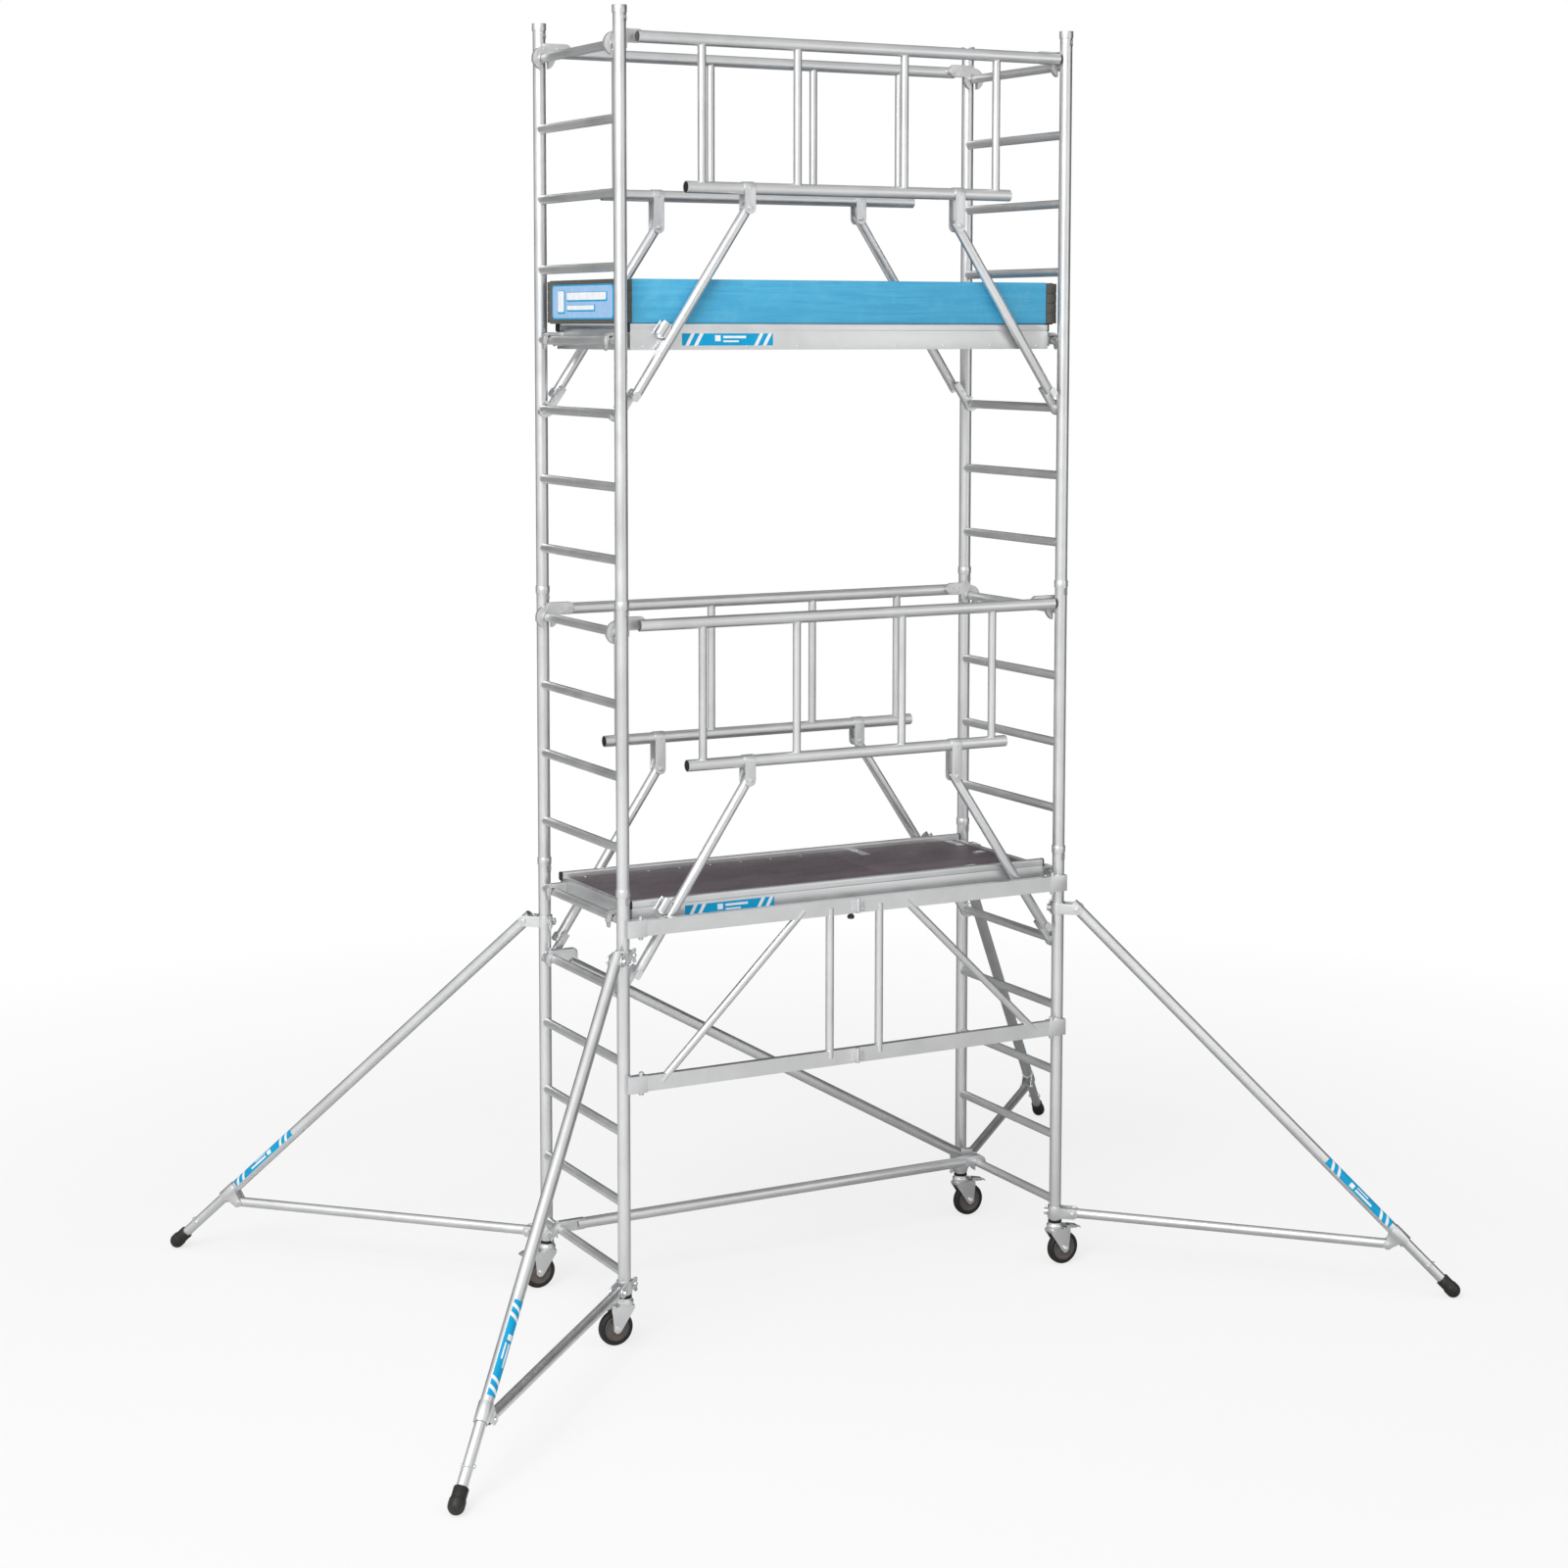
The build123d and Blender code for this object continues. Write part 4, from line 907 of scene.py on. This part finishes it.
# ---- toe boards ---------------------------------------------------------------------------
def toe_boards():
    shells = shells_of("toe_boards")
    long_boards, end_boards = bmesh.new(), bmesh.new()
    add_shells(long_boards, [s for s in shells if s[2].x - s[1].x > 1], 0.0022)
    add_shells(end_boards, [s for s in shells if s[2].x - s[1].x < 1], 0.0022)
    piece("toe_boards_long", long_boards, "tower", WOOD_X, ("toe_boards",))
    piece("toe_boards_end", end_boards, "tower", WOOD_Y)

    low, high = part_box("toe_board_brackets")
    board_low, board_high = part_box("toe_boards")
    z0, z1 = low.z, high.z
    bm = bmesh.new()
    step = (z1 - z0) / 4
    for side, face in CORNERS.values():
        for k in range(4):
            low_z, high_z = z0 + step * k + 0.0009, z0 + step * (k + 1) - 0.0009
            for (xa, ya), (xb, yb) in (((0.8437, 0.3092), (0.8868, 0.3108)),
                                       ((0.8852, 0.2625), (0.8868, 0.3108))):
                block(bm, (side * xa, face * ya, low_z), (side * xb, face * yb, high_z))
        block(bm, (side * 0.8440, face * 0.2640, z0 + 0.0005), (side * 0.8848, face * 0.3088, z1 - 0.0005))
    soften(bm, 0.0006)
    for side, face in CORNERS.values():
        for k in (0, 3):
            z = z0 + step * (k + 0.5)
            dome(bm, (side * 0.852, face * 0.3106, z), (0, face, 0), 0.0036, 0.0012)
            dome(bm, (side * 0.8866, face * 0.272, z), (side, 0, 0), 0.0036, 0.0004)
    piece("toe_brackets", bm, "tower", TRIM_GREY, ("toe_board_brackets",))

    panel, rim, face_bm, marks = bmesh.new(), bmesh.new(), bmesh.new(), bmesh.new()
    z_mid = (board_low.z + board_high.z) / 2 - 0.002
    for side in SIDES.values():
        x = side * (board_high.x + 0.0001)
        matrix = frame_of(Vector((x + side * 0.0016, 0, z_mid)), (side, 0, 0), ALONG_Z)
        plate(panel, matrix, round_outline(0.520, 0.150, 0.004), 0.0030)
        matrix.translation.x = side * 0.8880
        plate(panel, matrix, round_outline(0.568, 0.153, 0.005), 0.0016)
        matrix.translation.x = side * 0.8891
        plate(rim, matrix, round_outline(0.524, 0.122, 0.016), 0.0008)
        matrix.translation.x = side * 0.8898
        plate(face_bm, matrix, round_outline(0.506, 0.112, 0.012), 0.0008)
        matrix.translation.x = side * 0.8904
        for u, v, w, h in ((-0.178, 0, 0.052, 0.074), (0.040, 0.018, 0.330, 0.026),
                           (-0.010, -0.022, 0.230, 0.016)):
            spot = matrix @ Matrix.Translation((u, v, 0))
            plate(rim, spot, round_outline(w + 0.012, h + 0.008, 0.006), 0.0006)
            spot = spot @ Matrix.Translation((-0.003, 0.002, 0.0005))
            plate(marks, spot, round_outline(w, h, 0.005), 0.0006)
    soften(panel, 0.0004)
    piece("toe_panel_frames", panel, "tower", TRIM_GREY)
    piece("toe_panel_rims", rim, "tower", CYAN_FILM)
    piece("toe_panel_faces", face_bm, "tower", PALE_FILM)
    piece("toe_panel_marks", marks, "tower", WHITE_FILM)


# ---- guardrails and braces ----------------------------------------------------------------
def guardrails():
    for level in LEVELS:
        top_z = GUARD_RUNG[level] * RUNG_PITCH + GUARD_LIFT
        for where, face in FACES.items():
            node = f"guardrail_{where}_{level}"
            dress(node, RAIL_METAL)
            beads = bmesh.new()
            y = face * GUARD_Y
            for along in (-0.588, -0.215, 0.217, 0.602):
                x = -face * along
                weld(beads, (x, y, top_z), (0, 0, -1), ALONG_X, BALUSTER_R, RAIL_R, 0.0015)
                weld(beads, (x, y, top_z - GUARD_DROP), (0, 0, 1), ALONG_X, BALUSTER_R, RAIL_R, 0.0015)
            piece(f"welds_{node}", beads, "tower", WELD_METAL)
            plugs = bmesh.new()
            for along in (-0.650, 0.660):
                x, way = -face * along, -face * math.copysign(1, along)
                profile = ((0, -0.006), (0.0186, -0.006), (0.0186, -0.0006), (0.0203, 0.0),
                           (0.0196, 0.0016), (0, 0.0024))
                lathe(plugs, (x - way * 0.0024, y, top_z - GUARD_DROP), (way, 0, 0), profile, 32)
            piece(f"plugs_{node}", plugs, "tower", DARK_TRIM)
    bm = bmesh.new()
    add_shells(bm, shells_of("guardrail_claws"), 0.0018, 35, 0.018)
    for level in LEVELS:
        z = GUARD_RUNG[level] * RUNG_PITCH
        for side, face in CORNERS.values():
            for dx, dz in ((0.052, 0.034), (0.080, 0.034), (0.095, 0.018), (0.060, 0.016)):
                dome(bm, (side * (END_X - dx), face * CLAW_Y, z + dz), (0, -face, 0), 0.0042, 0.0020)
            dome(bm, (side * END_X, face * CLAW_Y, z + 0.032), (0, -face, 0), 0.0042, 0.0020)
    piece("guardrail_hooks", bm, "tower", CAST_METAL, ("guardrail_claws",))
    bm = bmesh.new()
    add_shells(bm, shells_of("guardrail_brackets"), 0.0008)
    for name, joint in JOINTS.items():
        if name.startswith("brace_"):
            pivot = Vector(joint["pos_m"])
            for end in (-1, 1):
                hex_bolt(bm, pivot + Vector((0, end * 0.0243, 0)), (0, end, 0), 0.0150, 0.0042)
            rail_z = GUARD_RUNG["upper" if pivot.z > 3 else "lower"] * RUNG_PITCH + GUARD_LIFT - GUARD_DROP
            for end in (-1, 1):
                dome(bm, (pivot.x, pivot.y + end * 0.0240, rail_z), (0, end, 0), 0.0042, 0.0018)
    piece("brace_stirrups", bm, "tower", PRESSED_METAL, ("guardrail_brackets",))


def open_clip(bm, start, end, out):
    """A split spring tube, open on the side that faces out, on a short foot."""
    axis = end - start
    matrix = frame_of((start + end) / 2, axis, out)
    outer, inner = [], []
    for i in range(25):
        turn = math.radians(90 + 48 + 264 * i / 24)
        outer.append((0.0225 * math.cos(turn), 0.0225 * math.sin(turn)))
        inner.append((0.0198 * math.cos(turn), 0.0198 * math.sin(turn)))
    plate(bm, matrix, outer + inner[::-1], axis.length)
    foot = matrix @ Matrix.Translation((0, -0.0245, 0))
    plate(bm, foot, ((-0.006, -0.006), (0.006, -0.006), (0.006, 0.0025), (-0.006, 0.0025)), axis.length * 0.8)


def braces():
    looks = {}
    for corner, (side, face) in CORNERS.items():
        for level in LEVELS:
            node = f"brace_{corner}_{level}"
            pivot = Vector(JOINTS[f"{node}_pivot"]["pos_m"])
            rung = Vector((side * END_X, 0, (GUARD_RUNG[level] - 5) * RUNG_PITCH))
            arm = Vector((pivot.x, 0, pivot.z)) - rung
            arm.normalize()
            if side not in looks:
                looks[side] = metal(f"alu_brace_{'left' if side < 0 else 'right'}", arm)
            swing = Vector((-side * arm.z, 0, side * arm.x))
            rail = Vector((0, face * GUARD_Y, 0))
            bm = bmesh.new()
            add_shells(bm, shells_of(node), 0.0016, 42, 0.010)
            for distance, shift in ((0.040, -0.010), (0.065, -0.004), (0.092, -0.012)):
                spot = rung + arm * distance + swing * (0.011 + shift)
                dome(bm, (spot.x, face * CLAW_Y, spot.z), (0, -face, 0), 0.0042, 0.0020)
            if side == face:
                middle = rung + arm * (0.270 / arm.z) - swing * 0.036 + rail
                open_clip(bm, middle - arm * 0.026, middle + arm * 0.026, -swing)
            for way in (-1, 1):
                spot = rung + arm * 0.078 + swing * 0.008 + Vector((0, face * GUARD_Y + way * 0.0225, 0))
                plate(bm, frame_of(spot, (0, way, 0), arm), round_outline(0.026, 0.034, 0.009), 0.003)
            piece(f"guard_{node}", bm, node, looks[side], (node,))
    bm = bmesh.new()
    add_shells(bm, shells_of("rear_braces"), 0.0016, 42, 0.014)
    piece("back_braces", bm, "tower", RAIL_METAL, ("rear_braces",))


# ---- truss --------------------------------------------------------------------------------
def truss():
    beads = bmesh.new()
    for where, side in SIDES.items():
        dress(f"truss_{where}", RAIL_METAL)
        low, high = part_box(f"truss_{where}")
        y = (low.y + high.y) / 2
        z0, z1 = low.z + 0.055, high.z - 0.055
        for z, way in ((z0, 1), (z1, -1)):
            weld(beads, (side * 0.102, y, z), (0, 0, way), ALONG_X, 0.015, None, 0.0015)
    piece("welds_truss", beads, "tower", WELD_METAL)
    bm, knob = bmesh.new(), bmesh.new()
    shells = shells_of("truss_fittings")
    keep = [s for s in shells if not (-0.035 < s[1].x and s[2].x < 0.0 and s[2].z < 1.452 and s[1].z > 1.40)]
    add_shells(bm, keep, 0.0011)
    for z in TRUSS_HEIGHTS:
        for x in (-0.016, 0.026):
            for dz in (-0.013, 0.013):
                dome(bm, (x, TRUSS_FRONT_Y, z + dz), (0, -1, 0), 0.0036, 0.0018)
        for side in SIDES.values():
            for end in (-1, 1):
                spot = Vector((side * TRUSS_END_X, TRUSS_Y, z + end * 0.0364))
                hex_bolt(bm, spot, (0, 0, end), 0.0130, 0.0040)
    piece("truss_brackets", bm, "tower", PRESSED_METAL, ("truss_fittings",))
    top = TRUSS_HEIGHTS[1] - 0.0277
    profile = ((0, 0), (0.0085, 0), (0.0085, -0.007), (0.0125, -0.0085), (0.0130, -0.011), (0.0125, -0.018),
               (0.0105, -0.0200), (0, -0.0204))
    lathe(knob, Vector((-0.016, TRUSS_Y, top)), ALONG_Z, profile, 28)
    piece("truss_knob", knob, "tower", BLACK_PLASTIC)


# ---- stabilisers --------------------------------------------------------------------------
def wing_nut(bm, centre, axis, up):
    """A hub with two rounded ears."""
    axis = Vector(axis).normalized()
    boss = ((0.004, 0), (0.0085, 0), (0.0080, 0.010), (0.0060, 0.013), (0.004, 0.013))
    lathe(bm, Vector(centre), axis, boss, 20, closed=True)
    for way in (-1, 1):
        ear = [(0.0, 0.004), (0.0, 0.020), (0.004, 0.025), (0.010, 0.026), (0.014, 0.022),
               (0.0135, 0.016), (0.010, 0.004)]
        matrix = frame_of(Vector(centre), axis, up)
        z, y, x = matrix.col[2].xyz, matrix.col[1].xyz, matrix.col[0].xyz
        turned = Matrix((z, y * way, x)).transposed().to_4x4()
        turned.translation = centre
        plate(bm, turned, ear, 0.0032)


def stabiliser(corner):
    body = f"stabiliser_{corner}"
    axis = leg_axis(corner)
    flat = Vector((axis.x, axis.y, 0)).normalized()
    across = Vector((-flat.y, flat.x, 0))
    tube_look = metal(f"alu_leg_{corner}", axis)
    dress(f"stabiliser_tubes_{corner}", tube_look)
    bm = bmesh.new()
    add_shells(bm, shells_of(f"stabiliser_fittings_{corner}"), 0.0010)
    x, y = upright(corner)
    for (out, height), gap in ((LEG_PIVOT, 0.0219), (STRUT_PIVOT, 0.0184)):
        spot = Vector((x, y, height)) + flat * out
        for end in (-1, 1):
            hex_bolt(bm, spot + across * (end * (gap + 0.0090)), across * end, 0.0150, 0.0036)
        lug = Vector((x, y, height)) - flat * 0.033 + across * 0.0225
        wing_nut(bm, lug, across, ALONG_Z)
    piece(f"couplers_{corner}", bm, body, PRESSED_METAL, (f"stabiliser_fittings_{corner}",))

    foot = f"foot_{corner}"
    end = leg_length(corner)
    low = leg_point(corner, end)
    inner = bmesh.new()
    pipe(inner, leg_point(corner, INNER_LEG_START), leg_point(corner, end - 0.014), INNER_LEG_R, 0.0025)
    piece(f"foot_tube_{corner}", inner, foot, tube_look, (f"stabiliser_foot_{corner}",))
    rubber = bmesh.new()
    profile = [(INNER_LEG_R, -0.058), (0.0228, -0.058), (0.0240, -0.0565), (0.0240, -0.026), (0.0246, -0.022),
               (0.0266, -0.018), (0.0270, -0.012), (0.0270, 0.0)]
    for i in range(1, 9):
        turn = math.pi / 2 * i / 8
        profile.append((FOOT_R * math.cos(turn) if i < 8 else 0, FOOT_R * math.sin(turn)))
    lathe(rubber, low, axis, profile, 40)
    piece(f"foot_rubber_{corner}", rubber, foot, FOOT_RUBBER)
    pin = bmesh.new()
    spot = leg_point(corner, end - PIN_ABOVE_FOOT)
    side = across
    rod(pin, spot - side * 0.026, spot + side * 0.026, 0.0038, 16)
    button = ((0, 0), (0.0062, 0), (0.0066, 0.001), (0.0066, 0.0045), (0.0050, 0.006), (0, 0.006))
    lathe(pin, spot + side * 0.0188, side, button, 20)
    above = axis.cross(side)
    loop = []
    for i in range(25):
        turn = math.radians(-8 + 196 * i / 24)
        bow = 0.010 * math.sin(math.radians(180 * i / 24))
        loop.append(spot + side * (math.cos(turn) * 0.0232) + above * (math.sin(turn) * 0.0232) + axis * bow)
    wire(pin, loop, 0.0013, 8)
    piece(f"foot_pin_{corner}", pin, foot, BRIGHT_ZINC)


# ---- build --------------------------------------------------------------------------------
frame_welds()
collars()
castor_stems()
for corner_name in CORNERS:
    castor(corner_name)
    stabiliser(corner_name)
decks()
stickers()
toe_boards()
guardrails()
braces()
truss()


# ---- floor, light and camera --------------------------------------------------------------
def stage():
    """A pale floor that fades to white. In reflections and bounced light it is painted darker, most of all
    behind the object and to the right: painted shade.
    """
    look = Look("floor_paper")
    grain = look.noise(look.place, 60, 4)
    colour = look.mix(grain, grey(0.86, 0.002), grey(0.89, 0.002))
    look.finish(colour, look.spread(grain, (0.3, 0.7), (0.75, 0.9)), grain, 0.0002, 0.1)
    tree = look.tree
    output = [n for n in tree.nodes if n.type == "OUTPUT_MATERIAL"][0]
    far = look.add("ShaderNodeEmission")
    far.inputs["Strength"].default_value = 1.0
    washed = look.add("ShaderNodeMixShader")
    washed.inputs[0].default_value = 0.74
    tree.links.new(look.shader.outputs[0], washed.inputs[1])
    tree.links.new(far.outputs[0], washed.inputs[2])
    away = look.add("ShaderNodeVectorMath", operation="LENGTH")
    tree.links.new(look.place, away.inputs[0])
    fade = look.spread(away.outputs["Value"], (2.8, 6.5), (0, 1))
    seen = look.add("ShaderNodeMixShader")
    tree.links.new(fade, seen.inputs[0])
    tree.links.new(washed.outputs[0], seen.inputs[1])
    tree.links.new(far.outputs[0], seen.inputs[2])
    # Painted shade: rays other than the camera's see a grey floor, pale toward the key light at front left
    # and darker behind and to the right.
    painted_floor_shade = look.add("ShaderNodeBsdfDiffuse")
    aside = look.add("ShaderNodeVectorMath", operation="DOT_PRODUCT")
    tree.links.new(look.place, aside.inputs[0])
    aside.inputs[1].default_value = (-0.72, -0.69, 0)
    pale = look.spread(aside.outputs["Value"], (-1.5, 3.0), (0, 1))
    tree.links.new(look.mix(pale, grey(0.34), grey(1.0)), painted_floor_shade.inputs["Color"])
    # Camera rays see the washed floor; the painted shade shows only in the metal's reflections and in bounced
    # light.
    path = look.add("ShaderNodeLightPath")
    chooser = look.add("ShaderNodeMixShader")
    tree.links.new(path.outputs["Is Camera Ray"], chooser.inputs[0])
    tree.links.new(painted_floor_shade.outputs[0], chooser.inputs[1])
    tree.links.new(seen.outputs[0], chooser.inputs[2])
    tree.links.new(chooser.outputs[0], output.inputs["Surface"])
    bm = bmesh.new()
    bmesh.ops.create_circle(bm, cap_ends=True, radius=60, segments=64)
    mesh = bpy.data.meshes.new("floor")
    bm.to_mesh(mesh)
    bm.free()
    mesh.materials.append(look.material)
    floor = bpy.data.objects.new("floor", mesh)
    bpy.context.scene.collection.objects.link(floor)


def sky():
    """White behind the object; softer and uneven where the metal reflects it."""
    world = bpy.data.worlds.new("studio")
    bpy.context.scene.world = world
    world.use_nodes = True
    tree = world.node_tree
    tree.nodes.clear()
    output = tree.nodes.new("ShaderNodeOutputWorld")
    white = tree.nodes.new("ShaderNodeBackground")
    white.inputs["Strength"].default_value = 1.0
    white.inputs["Color"].default_value = (1, 1, 1, 1)
    room = tree.nodes.new("ShaderNodeBackground")
    coordinates = tree.nodes.new("ShaderNodeTexCoord")

    def facing(direction, start, low, high):
        dot = tree.nodes.new("ShaderNodeVectorMath")
        dot.operation = "DOT_PRODUCT"
        dot.inputs[1].default_value = Vector(direction).normalized()
        tree.links.new(coordinates.outputs["Generated"], dot.inputs[0])
        spread = tree.nodes.new("ShaderNodeMapRange")
        spread.interpolation_type = "SMOOTHSTEP"
        tree.links.new(dot.outputs["Value"], spread.inputs["Value"])
        for key, number in zip(("From Min", "From Max", "To Min", "To Max"), (start, 1.0, low, high)):
            spread.inputs[key].default_value = number
        return spread.outputs["Result"]

    total = tree.nodes.new("ShaderNodeMath")
    total.operation = "ADD"
    tree.links.new(facing((-0.80, -0.70, 0.05), -0.7, 0.02, 1.12), total.inputs[0])
    tree.links.new(facing((0, 0, 1), 0.1, 0.0, 0.46), total.inputs[1])
    tree.links.new(total.outputs[0], room.inputs["Strength"])
    path = tree.nodes.new("ShaderNodeLightPath")
    chooser = tree.nodes.new("ShaderNodeMixShader")
    tree.links.new(path.outputs["Is Camera Ray"], chooser.inputs[0])
    tree.links.new(room.outputs[0], chooser.inputs[1])
    tree.links.new(white.outputs[0], chooser.inputs[2])
    tree.links.new(chooser.outputs[0], output.inputs["Surface"])


def area_light(name, place, target, size, power):
    data = bpy.data.lights.new(name, "AREA")
    data.shape = "RECTANGLE"
    data.size, data.size_y = size
    data.energy = power
    light = bpy.data.objects.new(name, data)
    light.location = place
    light.rotation_mode = "QUATERNION"
    light.rotation_quaternion = (Vector(target) - Vector(place)).to_track_quat("-Z", "Y")
    bpy.context.scene.collection.objects.link(light)


def camera():
    data = bpy.data.cameras.new("camera")
    data.sensor_width = 36
    data.lens = 65.39
    data.shift_y = -0.1272
    data.clip_end = 200
    cam = bpy.data.objects.new("camera", data)
    yaw, pitch, roll = math.radians(28.206), math.radians(5.14), math.radians(-0.06)
    heading = Vector((math.sin(yaw) * math.cos(pitch), math.cos(yaw) * math.cos(pitch), -math.sin(pitch)))
    cam.rotation_mode = "QUATERNION"
    cam.rotation_quaternion = heading.to_track_quat("-Z", "Y") @ Euler((0, 0, -roll)).to_quaternion()
    cam.location = (-4.9972, -9.1545, 3.5425)
    bpy.context.scene.collection.objects.link(cam)
    bpy.context.scene.camera = cam


stage()
sky()
area_light("key", (-6.5, -5.0, 7.5), (0, 0, 2.2), (4, 4), 430)
area_light("fill", (5.5, -7.0, 4.0), (0, 0, 2.0), (4, 6), 60)
camera()
bpy.context.scene.view_settings.view_transform = "Standard"
